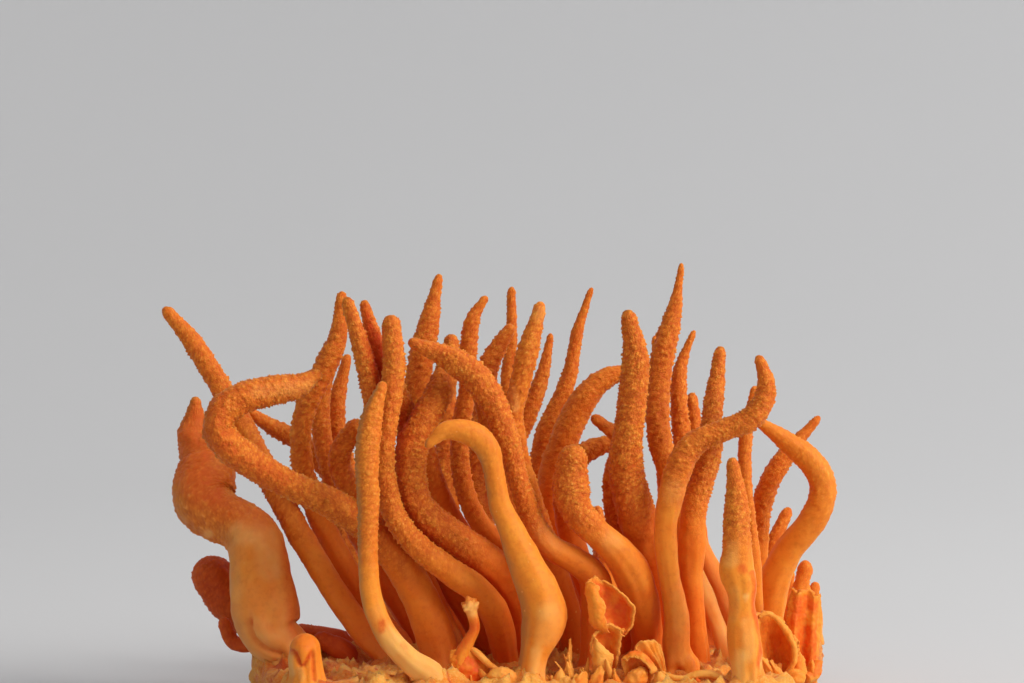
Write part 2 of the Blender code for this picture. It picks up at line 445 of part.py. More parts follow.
def lean_apart(routes):
    """Leans neighbours towards the viewer and away from it until they clear each other.

    Every point moves along its own line of sight, so the front view stays as drawn.
    """
    names = list(routes)
    drawn = np.vstack([routes[name] for name in names])
    club = np.concatenate([np.full(len(routes[name]), n) for n, name in enumerate(names)])
    feet = np.nonzero(np.diff(club, prepend=-1))[0]
    sight = drawn[:, :3] - EYE
    sight /= np.linalg.norm(sight, axis=1)[:, None]
    sight[feet, 2] = 0
    lean = np.zeros(len(drawn))
    for turn in range(LEAN_ROUNDS):
        rows = drawn.copy()
        rows[:, :3] += sight * lean[:, None]
        if turn % NEIGHBOUR_ROUNDS == 0:
            first, second = close_pairs(rows, club, NEIGHBOUR_REACH)
        off = rows[second, :3] - rows[first, :3]
        deep = (off * sight[first]).sum(1)
        beside = (off**2).sum(1) - deep**2
        wanted = rows[first, 3] + rows[second, 3] + CLUB_GAP
        short = np.sqrt(np.maximum(wanted**2 - beside, 0)) - np.abs(deep)
        short = np.maximum(short, 0) / 2
        if not short.any() and turn > LEAN_EASED:
            break
        ahead = deep < 0
        back = np.zeros(len(rows))
        front = np.zeros(len(rows))
        np.maximum.at(back, second, np.where(ahead, 0, short))
        np.maximum.at(front, second, np.where(ahead, short, 0))
        np.maximum.at(back, first, np.where(ahead, short, 0))
        np.maximum.at(front, first, np.where(ahead, 0, short))
        lean += spread_push(back, club) - spread_push(front, club)
        if turn < LEAN_EASED:
            lean = eased(lean, club)
        lean[feet] = lean[feet + 1]
    rows[:, :3] = drawn[:, :3] + sight * lean[:, None]
    return {name: rows[club == n] for n, name in enumerate(names)}


def eased(lean, club):
    """Each point's lean drawn towards that of the points beside it on its club."""
    smooth = lean.copy()
    inner = (club[2:] == club[1:-1]) & (club[:-2] == club[1:-1])
    middle = (lean[:-2] + 2 * lean[1:-1] + lean[2:]) / 4
    smooth[1:-1] = np.where(inner, middle, lean[1:-1])
    return smooth


def spread_push(push, club):
    """Lets the points beside a pushed one follow it, less and less."""
    spread = push.copy()
    for offset in range(1, LEAN_SPREAD + 1):
        share = math.cos(math.pi / 2 * offset / (LEAN_SPREAD + 1)) ** 2
        same = club[offset:] == club[:-offset]
        after = np.where(same, push[:-offset] * share, 0)
        before = np.where(same, push[offset:] * share, 0)
        spread[offset:] = np.maximum(spread[offset:], after)
        spread[:-offset] = np.maximum(spread[:-offset], before)
    return spread


def ring_rows(route):
    """The rings of a club's tube: closer where it bends or swells, and two that round its tip."""
    steps = np.diff(route[:, :3], axis=0)
    lengths = np.linalg.norm(steps, axis=1)
    heading = steps / lengths[:, None]
    turns = np.arccos(np.clip((heading[1:] * heading[:-1]).sum(1), -1, 1))
    swell = np.abs(np.diff(route[:, 3]))
    use = lengths / RING_PITCH + np.append(turns, 0) / RING_TURN + swell / RING_SWELL
    used = np.concatenate([[0], np.cumsum(use)])
    count = max(2, math.ceil(used[-1]))
    places = np.interp(np.linspace(0, used[-1], count + 1), used, lengths_along(route))
    foot, end = route[0], route[-1]
    ankle = foot + [0, 0, FOOT * foot[3], 0]
    places = places[places > 2 * FOOT * foot[3]]
    tip = []
    for beyond, share in TIP_RINGS:
        tip.append([*(end[:3] + heading[-1] * end[3] * beyond), end[3] * share])
    return np.vstack([foot, ankle, rows_at(route, places), tip])


def make_club(name, route, group, material):
    """One club: a tapering tube with a flat foot and a rounded tip."""
    behind = route[:, 1].mean() > PLAIN_DEPTH or route[:, 3].max() < PLAIN_RADIUS
    curve = bpy.data.curves.new(name, "CURVE")
    curve.dimensions = "3D"
    curve.bevel_depth = MM
    curve.bevel_resolution = PLAIN_ROUND if behind else FINE_ROUND
    curve.use_fill_caps = True
    rings = ring_rows(route)
    spline = curve.splines.new("POLY")
    spline.points.add(len(rings) - 1)
    for point, (x, y, z, radius) in zip(spline.points, rings):
        point.co = (x * MM, y * MM, z * MM, 1)
        point.radius = radius * FLARE
    curve.materials.append(material)
    club = bpy.data.objects.new(name, curve)
    group.objects.link(club)
    return club


def mat_outline(feet):
    """The mat's reach from its middle at even angles: past every club, and never less than an oval."""
    middle = np.array(MAT_MIDDLE)
    reach = []
    for angle in np.linspace(0, 2 * math.pi, MAT_SIDES, endpoint=False):
        way = np.array([math.cos(angle), math.sin(angle)])
        reach.append(1 / math.hypot(way[0] / MAT_REACH[0], way[1] / MAT_REACH[1]))
        for x, y, _, radius in feet:
            off = np.array([x, y]) - middle
            deep = off @ way
            aside = abs(off[0] * way[1] - off[1] * way[0])
            broad = radius + MAT_MARGIN + MAT_ROUNDING
            if deep > 0 and aside < broad:
                reach[-1] = max(reach[-1], deep + math.sqrt(broad**2 - aside**2) - MAT_ROUNDING)
    reach = np.array(reach)
    for _ in range(3):
        reach = np.maximum(reach, (np.roll(reach, 1) + reach + np.roll(reach, -1)) / 3)
    return (np.roll(reach, 1) + 2 * reach + np.roll(reach, -1)) / 4


def reach_towards(reach, x, y):
    """The mat's reach in the direction of a point, and the point's distance, both from the mat's middle."""
    turns = math.atan2(y - MAT_MIDDLE[1], x - MAT_MIDDLE[0]) / (2 * math.pi) % 1
    ahead = np.interp(turns * MAT_SIDES, range(MAT_SIDES + 1), np.append(reach, reach[0]))
    return ahead, math.hypot(x - MAT_MIDDLE[0], y - MAT_MIDDLE[1])


def make_mat(feet, group, cutters, material):
    """The mycelium mat: flat where it was cut, flat on top, lumpy round its side."""
    reach = mat_outline(feet)
    bm = bmesh.new()
    bmesh.ops.create_cone(bm, cap_ends=True, segments=MAT_SIDES, radius1=1, radius2=1, depth=1)
    upright = [e for e in bm.edges if abs(e.verts[0].co.z - e.verts[1].co.z) > 0.5]
    bmesh.ops.subdivide_edges(bm, edges=upright, cuts=len(MAT_LEVELS) - 2, use_grid_fill=True)
    for vert in bm.verts:
        level = round((vert.co.z + 0.5) * (len(MAT_LEVELS) - 1))
        height, share = MAT_LEVELS[level]
        way = Vector((vert.co.x, vert.co.y, 0)).normalized()
        ahead, _ = reach_towards(reach, MAT_MIDDLE[0] + way.x, MAT_MIDDLE[1] + way.y)
        place = (way.x * MAT_WAVES_ROUND, way.y * MAT_WAVES_ROUND, height * MAT_WAVES_UP)
        wave = MAT_WAVES * (noise.noise(Vector(place)) - 0.5)
        spread = ahead * share + (wave if level < len(MAT_LEVELS) - 1 else 0)
        vert.co = Vector((*MAT_MIDDLE, height)) + way * spread
    mat = add_mesh("mycelium_mat", bm, group, material)
    for number, lump in enumerate(LUMPS, 1):
        ahead, away = reach_towards(reach, lump[0], lump[1])
        drawn_in = min(1, LUMP_RIM * ahead / away)
        x, y = (m + (v - m) * drawn_in for m, v in zip(MAT_MIDDLE, lump))
        join(mat, make_lump(f"lump_{number}", (x, y, *lump[2:]), cutters, material))
    return mat


def make_lump(name, lump, group, material):
    """A rounded lump that the mat grew, long one way and half sunk in the mat."""
    x, y, half_length, half_width, rise, turn = lump
    bm = bmesh.new()
    bmesh.ops.create_icosphere(bm, subdivisions=1, radius=1)
    for vert in bm.verts:
        vert.co *= 1 + LUMP_WAVES * noise.noise(vert.co * 1.7 + Vector((x, y, 0)))
    tall = rise + LUMP_SINK
    bmesh.ops.scale(bm, vec=(half_length, half_width, tall), verts=bm.verts)
    angle = math.radians(turn)
    for vert in bm.verts:
        across, along = vert.co.x, vert.co.y
        vert.co.x = x + across * math.cos(angle) - along * math.sin(angle)
        vert.co.y = y + across * math.sin(angle) + along * math.cos(angle)
        vert.co.z += MAT_HEIGHT - LUMP_SINK
    piece = add_mesh(name, bm, group, material)
    piece.hide_render = True
    return piece


def join(piece, other):
    union = piece.modifiers.new(other.name, "BOOLEAN")
    union.operation = "UNION"
    union.solver = "EXACT"
    union.object = other


def make_skin(name, across_cells, up_cells, surface, group, material):
    """A torn skin: an open sheet laid out by surface(s, t), both from 0 to 1, then given its wall."""
    bm = bmesh.new()
    bmesh.ops.create_grid(bm, x_segments=across_cells, y_segments=up_cells, size=0.5)
    for vert in bm.verts:
        vert.co = Vector(surface(vert.co.x + 0.5, vert.co.y + 0.5))
    skin = add_mesh(name, bm, group, material)
    wall = skin.modifiers.new("wall", "SOLIDIFY")
    wall.thickness = SKIN_WALL * MM
    wall.offset = 0
    wall.use_even_offset = True
    return skin


def curl_surface(s, t):
    """A tall skin half rolled up, its left lip folded forward."""
    left = np.interp(t, (0, 0.35, 0.6, 0.85, 1), (12.6, 12.7, 12.2, 11.6, 12.0))
    right = np.interp(t, (0, 0.3, 0.55, 0.8, 1), (15.4, 17.3, 18.2, 16.4, 14.4))
    top = 14.9 - 1.6 * s
    up = 1.1 + (top - 1.1) * t
    lip = max(0.0, 0.28 - s) / 0.28
    depth = -28.6 + 2.0 * math.sin(math.pi * s) - 2.2 * lip * t
    return seen_at(left + (right - left) * s + 0.9 * lip * t, up, depth)


def fan_surface(s, t):
    """A ribbed flake that fans out down to the right."""
    spread = math.radians(188 + 92 * s)
    reach = 1.4 + 4.4 * t
    rib = 0.4 * math.sin(s * 4.5 * math.pi) * t
    across = 22.3 + reach * math.cos(spread) * 0.72
    up = 6.7 + reach * math.sin(spread) * 0.98
    return seen_at(across, up, -30.2 - 1.6 * t + rib)


def cup_surface(s, t):
    """A broken hollow cup, high at its left and open to the front."""
    turn = math.radians(-160 - 250 * s)
    rim = 3.6 + 4.9 * (1 + math.cos(turn - math.radians(165))) / 2
    radius = 1.3 + 1.7 * math.sqrt(t)
    x, y, _ = seen_at(39.3, 3.0, -22.0)
    height = MAT_HEIGHT + 2 * FIT_GAP + rim * t
    return (x + radius * math.cos(turn), y + radius * math.sin(turn), height)


def main():
    clear_scene()
    bunch = collection_named("cordyceps_bunch")
    cutters = collection_named("shapes_joined_to_the_mat", hidden=True)
    orange = finish_material("orange_club", ORANGE, 0.55)
    pale = finish_material("pale_club", PALE_ORANGE, 0.5)
    dark = finish_material("shaded_club", DARK_RED, 0.6)
    cream = finish_material("mycelium", CREAM, 0.7)
    routes = lean_apart({name: smooth_route(drawn_points(drawn)) for name, drawn in CLUBS.items()})
    for name, route in routes.items():
        finish = pale if name in PALE_CLUBS else dark if name in DARK_CLUBS else orange
        make_club("club_" + name, route, bunch, finish)
    feet = [route[0] for route in routes.values()]
    make_mat(feet + SKIN_FEET, bunch, cutters, cream)
    make_skin("skin_curl", 5, 6, curl_surface, bunch, orange)
    make_skin("skin_fan", 9, 3, fan_surface, bunch, orange)
    make_skin("skin_cup", 9, 3, cup_surface, bunch, orange)


main()
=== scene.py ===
"""The looks of a bunch of cultivated cordyceps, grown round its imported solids.

Clubs, mat and skins are worked out in millimetres and turned into metres as each piece is
finished. The bunch's front looks along -Y, and the camera stands in front of it.
"""

import math

import bmesh
import bpy
import numpy as np
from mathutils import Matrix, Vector, noise
from mathutils.bvhtree import BVHTree
from mathutils.kdtree import KDTree


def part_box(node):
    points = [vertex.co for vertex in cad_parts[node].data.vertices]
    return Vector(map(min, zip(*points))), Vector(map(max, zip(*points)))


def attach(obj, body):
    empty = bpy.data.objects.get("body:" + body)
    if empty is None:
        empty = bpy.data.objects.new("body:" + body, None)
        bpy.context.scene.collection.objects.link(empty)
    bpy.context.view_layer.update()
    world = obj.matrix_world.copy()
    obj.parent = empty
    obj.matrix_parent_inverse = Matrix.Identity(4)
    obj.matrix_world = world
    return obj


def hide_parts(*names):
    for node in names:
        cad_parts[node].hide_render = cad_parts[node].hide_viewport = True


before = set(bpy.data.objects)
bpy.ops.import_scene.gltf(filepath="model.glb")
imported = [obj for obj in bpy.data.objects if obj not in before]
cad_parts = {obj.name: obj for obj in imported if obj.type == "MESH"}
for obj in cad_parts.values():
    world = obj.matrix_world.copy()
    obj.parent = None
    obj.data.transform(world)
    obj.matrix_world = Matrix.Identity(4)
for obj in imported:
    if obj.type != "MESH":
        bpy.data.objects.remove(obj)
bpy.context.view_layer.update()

# The mycelium mat
# One thick felt of mycelium that every club grew from: cream to orange, lumpy and pitted on
# top, drawn up into a collar round each club's foot, and cut off flat underneath.

MM = 0.001
VIEW_TILT = math.radians(3)
VIEW_DISTANCE = 500.0  # from the lens to the depth at which the view is measured
VIEW_DEPTH = -20.0
VIEW_WIDTH = 153.6
VIEW_HEIGHT = 102.45
VIEW_MIDDLE_HEIGHT = 58.0
MAT_MIDDLE = (4.0, -6.0)
MAT_HEIGHT = 8.0
MAT_SIDE_STEPS = 370
MAT_TOP_STEPS = 100
MAT_SMOOTHINGS = 6
RIM_ROUNDING = 0.5
COLLAR_RISE = 1.3  # how far the felt climbs a foot
COLLAR_REACH = 1.1
FAR_OUT = 90  # outside the mat on every side
CORNER_OUT = 1.04  # a solid's corners stand this much outside the round club
FELT_COLOURS = {
    "Pale": (0.95, 0.52, 0.13), "Cream": (0.93, 0.41, 0.06),
    "Orange": (0.90, 0.24, 0.014), "Red": (0.58, 0.05, 0.002),
}

ahead_of_lens = np.array([0, math.cos(VIEW_TILT), -math.sin(VIEW_TILT)])
up_in_view = np.array([0, math.sin(VIEW_TILT), math.cos(VIEW_TILT)])
lens_place = np.array([0, VIEW_DEPTH, VIEW_MIDDLE_HEIGHT]) - VIEW_DISTANCE * ahead_of_lens


def seen_at(across, up, depth):
    """The place at that depth that the lens sees so far across and up the photographed view."""
    ray = VIEW_DISTANCE * ahead_of_lens + (up - VIEW_HEIGHT / 2) * up_in_view + [across, 0, 0]
    return lens_place + ray * (depth - lens_place[1]) / ray[1]


def in_view(places):
    """How far across and up the photographed view each place is seen."""
    off = places - lens_place
    nearness = VIEW_DISTANCE / (off @ ahead_of_lens)
    return off[:, 0] * nearness, off @ up_in_view * nearness + VIEW_HEIGHT / 2


def solid_copy(node):
    """A node's solid as a bmesh in millimetres, with its loose triangles merged."""
    bm = bmesh.new()
    bm.from_mesh(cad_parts[node].data)
    bmesh.ops.remove_doubles(bm, verts=bm.verts, dist=1e-6)
    bmesh.ops.scale(bm, vec=(1 / MM, 1 / MM, 1 / MM), verts=bm.verts)
    return bm


def club_rings(node):
    """Rows of x, y, z and radius for the rings of a club's solid, from its foot to its tip."""
    bm = solid_copy(node)
    lowest = min(v.co.z for v in bm.verts)
    ring = {v for v in bm.verts if v.co.z < lowest + 0.01}
    seen = set(ring)
    rows = []
    while ring:
        places = np.array([v.co for v in ring])
        middle = places.mean(0)
        rows.append([*middle, np.linalg.norm(places - middle, axis=1).mean() / CORNER_OUT])
        ring = {e.other_vert(v) for v in ring for e in v.link_edges} - seen
        seen |= ring
    bm.free()
    return np.array(rows)


club_nodes = sorted(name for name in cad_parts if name.startswith("club_"))
rings = {name: club_rings(name) for name in club_nodes}
feet = np.array([rows[0] for rows in rings.values()])
mat_low, mat_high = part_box("mycelium_mat")
mat_half = np.subtract(mat_high, mat_low)[:2] / MM / 2
mat_solid = solid_copy("mycelium_mat")
mat_tree = BVHTree.FromBMesh(mat_solid)
mat_solid.free()


def rim_reach(way, height):
    """How far the solid mat's rim is from its middle, that way and at that height."""
    way = Vector(way)
    return FAR_OUT - mat_tree.ray_cast(Vector((*MAT_MIDDLE, height)) + way * FAR_OUT, -way)[3]


def new_object(name, bm, material):
    """Turns a bmesh into a smooth object of one material."""
    mesh = bpy.data.meshes.new(name)
    bm.to_mesh(mesh)
    bm.free()
    mesh.shade_smooth()
    mesh.materials.append(material)
    made = bpy.data.objects.new(name, mesh)
    bpy.context.scene.collection.objects.link(made)
    return made


def finish_piece(name, bm, material, node=None):
    """Turns a bmesh in millimetres into a piece of the bunch that stands for its node."""
    bmesh.ops.scale(bm, vec=(MM, MM, MM), verts=bm.verts)
    piece = new_object(name, bm, material)
    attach(piece, "root")
    if node:
        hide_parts(node)


def ease(low, high, value):
    """0 below low, 1 above high, and an even curve between them."""
    part = np.clip((value - low) / (high - low), 0, 1)
    return part * part * (3 - 2 * part)


def noise_at(places, size, seed=0.0):
    """Soft noise from -1 to 1 at each place, with features about that many millimetres across."""
    return np.array([noise.noise(Vector(p) / size + Vector((seed, 0, 0))) for p in places])


def domes_at(places, size):
    """Packed round domes of that size: 1 on top of each and 0 in the valleys between."""
    nearest = [noise.voronoi(Vector(p) / size)[0][0] for p in places]
    return np.clip(1 - 1.45 * np.array(nearest), 0, 1)


def turned(profile, steps):
    """A form turned round the upright axis from a profile of (reach, height)."""
    bm = bmesh.new()
    chain = [bm.verts.new((reach, 0, height)) for reach, height in profile]
    edges = [bm.edges.new(pair) for pair in zip(chain, chain[1:])]
    bmesh.ops.spin(
        bm, geom=chain + edges, cent=(0, 0, 0), axis=(0, 0, 1), angle=math.tau, steps=steps,
        use_merge=True,
    )
    bmesh.ops.remove_doubles(bm, verts=bm.verts, dist=1e-5)
    return bm


def mat_surface():
    """A pillow that is turned from its side profile, then laid on the solid mat's surface."""
    top = [(share, 1.0) for share in np.linspace(0, 1, MAT_TOP_STEPS)]
    side = [(1.0, level) for level in np.linspace(0.96, 0.0, 18)]
    under = [(share, 0.0) for share in np.linspace(0.97, 0, 14)]
    bm = turned(top + side + under, MAT_SIDE_STEPS)
    rims = {}
    for vert in bm.verts:
        share, level = math.hypot(vert.co.x, vert.co.y), vert.co.z
        way = Vector((vert.co.x, vert.co.y, 0)) / share if share > 1e-6 else Vector((1, 0, 0))
        key = (round(math.atan2(way.y, way.x), 5), round(level, 3))
        if key not in rims:
            rims[key] = rim_reach(way, 0.15 + 7.6 * level)
        reach = rims[key] - RIM_ROUNDING * ease(0.7, 1.0, level)
        vert.co = Vector((*MAT_MIDDLE, 0)) + way * reach * share
        vert.co.z = MAT_HEIGHT * level
        if level == 1.0 and share < 0.999:
            fallen = mat_tree.ray_cast(Vector((vert.co.x, vert.co.y, 30)), Vector((0, 0, -1)))
            vert.co.z = fallen[0].z if fallen[0] else MAT_HEIGHT
    top_verts = [v for v in bm.verts if v.co.z > MAT_HEIGHT - 0.5]
    for _ in range(MAT_SMOOTHINGS):
        bmesh.ops.smooth_vert(
            bm, verts=top_verts, factor=0.5, use_axis_x=True, use_axis_y=True, use_axis_z=True
        )
    shape_felt(bm)
    bmesh.ops.recalc_face_normals(bm, faces=bm.faces)
    return bm


def shape_felt(bm):
    """Raises the collars and the felt's lumps and pits, and notes how orange each place is and how dark red
    it is painted.
    """
    orange = bm.verts.layers.float.new("orange")
    pitted = bm.verts.layers.float.new("deep")
    bm.normal_update()
    verts = list(bm.verts)
    places = np.array([v.co for v in verts])
    ways = np.array([v.normal for v in verts])
    off = places[:, None, :2] - feet[None, :, :2]
    beyond = (np.linalg.norm(off, axis=2) - feet[None, :, 3]).min(1)
    on_top = ease(6.0, 8.0, places[:, 2])
    collar = np.exp(-np.clip(beyond, 0, None) / COLLAR_REACH) * on_top
    tufts = noise_at(places, 2.6) * 0.5 + noise_at(places, 1.1, 7) * 0.38
    tufts = tufts + noise_at(places, 0.5, 3) * 0.22
    clods = domes_at(places, 2.3) * ease(-0.2, 0.4, noise_at(places, 6.0, 5))
    folds = (1 - np.abs(noise_at(places, 3.4, 15))) ** 9 * ease(-0.5, 0.2, noise_at(places, 5.0, 19))
    sunk = np.clip(places[:, 2] / 0.8, 0, 1)
    raised = (0.9 * tufts + (1.2 * clods + 1.0 * folds) * on_top + 0.5 * clods + 0.6 * folds) * sunk
    warm = np.clip(0.62 + 0.4 * collar + 0.8 * noise_at(places, 4.0, 9) - 0.3 * clods - 0.9 * folds, 0, 1)
    # painted shade: the felt is darkened towards red-brown in its low places and on top under the middle of
    # the bunch; it is also darker towards both ends
    off_middle = np.linalg.norm((places[:, :2] - MAT_MIDDLE) / mat_half, axis=1)
    ends = np.maximum(ease(-14, -24, places[:, 0]), ease(38, 45, places[:, 0]))
    dark = np.clip(0.55 * ease(0.9, 0.6, off_middle) * on_top + 0.6 * ends, 0, 0.75)
    deep = ease(0.0, 0.4, -tufts - 0.25 * clods) * (0.4 + 0.6 * on_top) + dark * (1 - 0.7 * folds)
    for vert, place, way, lift, rise, glow, pit in zip(verts, places, ways, raised, collar, warm, deep):
        vert.co = Vector(place + way * lift)
        vert.co.z = max(0.0, vert.co.z + COLLAR_RISE * rise)
        if place[2] < 0.05:
            vert.co.z = 0.0
        vert[orange] = glow
        vert[pitted] = pit


def pattern_group(name, inputs):
    """An empty node group that takes those colours and shares, with its two ends' sockets."""
    group = bpy.data.node_groups.new(name, "ShaderNodeTree")
    for label, value in inputs.items():
        kind, value = ("Color", (*value, 1)) if isinstance(value, tuple) else ("Float", value)
        socket = group.interface.new_socket(label, in_out="INPUT", socket_type="NodeSocket" + kind)
        socket.default_value = value
    for label, kind in (("Colour", "Color"), ("Roughness", "Float"), ("Height", "Float")):
        group.interface.new_socket(label, in_out="OUTPUT", socket_type="NodeSocket" + kind)
    ends = group.nodes.new("NodeGroupInput"), group.nodes.new("NodeGroupOutput")
    return group, ends[0].outputs, ends[1].inputs


def add_node(tree, kind, inputs=None, **settings):
    """A node with its settings, each input given a value or linked from a socket."""
    node = tree.nodes.new(kind)
    for key, value in settings.items():
        setattr(node, key, value)
    for key, value in (inputs or {}).items():
        socket = node.inputs[key]
        if isinstance(value, bpy.types.NodeSocket):
            tree.links.new(value, socket)
        elif isinstance(value, tuple) and len(value) == 3 and socket.type == "RGBA":
            socket.default_value = (*value, 1)
        else:
            socket.default_value = value
    return node


def mix_colours(tree, share, first, second):
    """The colour that lies that share of the way from the first to the second."""
    node = add_node(tree, "ShaderNodeMix", {"Factor": share, 6: first, 7: second}, data_type="RGBA")
    return node.outputs[2]


def calculate(tree, operation, first, second):
    """The sum or product of two values."""
    return add_node(tree, "ShaderNodeMath", {0: first, 1: second}, operation=operation).outputs[0]


def ranged(tree, value, low, high, to_low=0.0, to_high=1.0):
    """The value's place between low and high, as a number from to_low to to_high."""
    node = add_node(
        tree, "ShaderNodeMapRange",
        {"Value": value, "From Min": low, "From Max": high, "To Min": to_low, "To Max": to_high},
    )
    return node.outputs["Result"]


def painted(tree, name):
    """A value that the piece's own mesh carries."""
    return add_node(tree, "ShaderNodeAttribute", attribute_name=name).outputs["Fac"]


def spotted(tree, size, detail=2.0, roughness=0.5, stretch=None):
    """Noise with features about that many millimetres across."""
    place = add_node(tree, "ShaderNodeTexCoord").outputs["Object"]
    if stretch:
        place = add_node(tree, "ShaderNodeMapping", {"Vector": place, "Scale": stretch}).outputs["Vector"]
    node = add_node(
        tree, "ShaderNodeTexNoise",
        {"Vector": place, "Scale": 1 / (size * MM), "Detail": detail, "Roughness": roughness},
    )
    return node.outputs["Fac"]


def granules(tree, size):
    """Distance from the nearest granule's middle, 0 there and about 0.6 in the valleys."""
    place = add_node(tree, "ShaderNodeTexCoord").outputs["Object"]
    node = add_node(tree, "ShaderNodeTexVoronoi", {"Vector": place, "Scale": 1 / (size * MM)})
    return node.outputs["Distance"]


def felt_group():
    """Matted mycelium: pale threads over an orange ground, red-brown in small pits and in its painted shade.
    """
    group, given, out = pattern_group("mycelium_felt", FELT_COLOURS)
    patches = ranged(group, spotted(group, 3.5), 0.3, 0.7, -0.4, 0.4)
    warm = calculate(group, "ADD", painted(group, "orange"), patches)
    ground = mix_colours(group, ranged(group, warm, 0.1, 0.9), given["Cream"], given["Orange"])
    threads = spotted(group, 0.35, 4.0, 0.7, (1.0, 2.2, 0.8))
    pale_over = mix_colours(group, ranged(group, threads, 0.46, 0.66, 0.0, 0.75), ground, given["Pale"])
    # the mesh's deep value, painted shade, and small random pits darken the felt towards red-brown
    small_pits = ranged(group, spotted(group, 1.2), 0.45, 0.7, 0.0, 0.4)
    pits = calculate(group, "ADD", painted(group, "deep"), small_pits)
    colour = mix_colours(group, ranged(group, pits, 0.35, 1.2, 0.0, 0.85), pale_over, given["Red"])
    pitted = calculate(group, "MULTIPLY", granules(group, 0.6), -0.6)
    group.links.new(colour, out["Colour"])
    group.links.new(ranged(group, threads, 0.3, 0.7, 0.72, 0.5), out["Roughness"])
    group.links.new(calculate(group, "ADD", threads, pitted), out["Height"])
    return group


def flesh_material(name, group, values=None, softness=0.3, bump_depth=0.12,
                   glow=(1.0, 0.28, 0.06), sheen=0.05):
    """A translucent, faintly velvety surface whose pattern comes from one group."""
    material = bpy.data.materials.new(name)
    material.use_nodes = True
    tree = material.node_tree
    shader = tree.nodes["Principled BSDF"]
    pattern = add_node(tree, "ShaderNodeGroup", node_tree=group)
    for key, value in (values or {}).items():
        pattern.inputs[key].default_value = (*value, 1) if isinstance(value, tuple) else value
    bump = add_node(
        tree, "ShaderNodeBump",
        {"Height": pattern.outputs["Height"], "Distance": bump_depth * MM, "Strength": 0.9},
    )
    tree.links.new(pattern.outputs["Colour"], shader.inputs["Base Color"])
    tree.links.new(pattern.outputs["Roughness"], shader.inputs["Roughness"])
    tree.links.new(bump.outputs["Normal"], shader.inputs["Normal"])
    shader.inputs["Subsurface Weight"].default_value = softness
    shader.inputs["Subsurface Radius"].default_value = glow
    shader.inputs["Subsurface Scale"].default_value = 0.9 * MM
    shader.inputs["Specular IOR Level"].default_value = 0.2
    shader.inputs["Sheen Weight"].default_value = sheen
    shader.inputs["Sheen Roughness"].default_value = 0.45
    return material


felt = flesh_material(
    "mycelium_felt", felt_group(), softness=0.25, bump_depth=0.25, glow=(1.0, 0.4, 0.15), sheen=0.1
)
finish_piece("felted_mat", mat_surface(), felt, "mycelium_mat")

# Granular clubs in front
# Clubs of firm orange flesh, each grown from the mat in one piece. The upper half of each is
# thickly set with round spore cups that stand out like grains, and the stem is smooth.

GRAIN_RISE = 0.42
CLUMP_RISE = 0.16  # grains stand in clumps
GRAIN_SINK = 0.17  # and start from below the drawn outline
STEP_NEAR = 0.2  # between two rows of a club's faces
TAPER_LENGTH = 8.0
TIP_REACH = 1.15  # a tip stands out this many times its radius
FOOT_SINK = 1.6  # a club's flared foot goes this far into the felt
FOOT_FLARE = 0.14
SUNK_FLARE = 0.3
SHELTER = 4.2  # another club this near stands in the light's way, and the flesh there takes a painted shade of dark red
SHELTER_STEP = 1.6
SHELTER_TURNS = 10
FLESH_LOOKS = {
    "Light": (0.90, 0.265, 0.022), "Deep": (0.56, 0.075, 0.003), "Stem": (0.90, 0.250, 0.017),
    "Yellow": (0.95, 0.36, 0.034), "Cream": (0.97, 0.47, 0.115), "Red": (0.72, 0.09, 0.005),
    "Side Shade": (0.44, 0.20, 0.055), "Painted Shade": (0.74, 0.045, 0.002), "Mottle": 0.55, "Specks": 0.15,
}
MARKS = ("grain", "top", "pale", "red", "dull", "painted_shade")


def sheltered_at(places, ways, node=None):
    """How little light reaches each place that faces that way: 0 in the open, 1 deep inside.

    Only neighbours that stand in front of the surface take its light.
    """
    total = np.zeros(len(places))
    for other, line in crowd.items():
        if other != node:
            off = line[None, :, :] - places[:, None, :]
            nearest = off[np.arange(len(places)), (off**2).sum(2).argmin(1)]
            gap = np.linalg.norm(nearest, axis=1) + 1e-6
            facing = (nearest * ways).sum(1) / gap
            total += np.exp(-(gap**2) / SHELTER**2) * ease(-0.5, 0.6, facing)
    off_middle = np.linalg.norm((places[:, :2] - MAT_MIDDLE) / mat_half, axis=1)
    inside = ease(0.92, 0.5, off_middle) * ease(44, 12, places[:, 2])
    return np.clip(ease(0.5, 1.5, total) + 0.5 * inside, 0, 1)


def smooth_line(points, count):
    """That many places along one smooth curve through the points."""
    points = np.asarray(points, float)
    knots = np.vstack([2 * points[0] - points[1], points, 2 * points[-1] - points[-2]])
    line = []
    for place in np.linspace(0, len(points) - 1, count):
        i = min(int(place), len(points) - 2)
        t = place - i
        a, b, c, d = knots[i : i + 4]
        curve = (2 * a - 5 * b + 4 * c - d) * t**2 + (3 * b - a - 3 * c + d) * t**3
        line.append(0.5 * (2 * b + (c - a) * t + curve))
    return np.array(line)


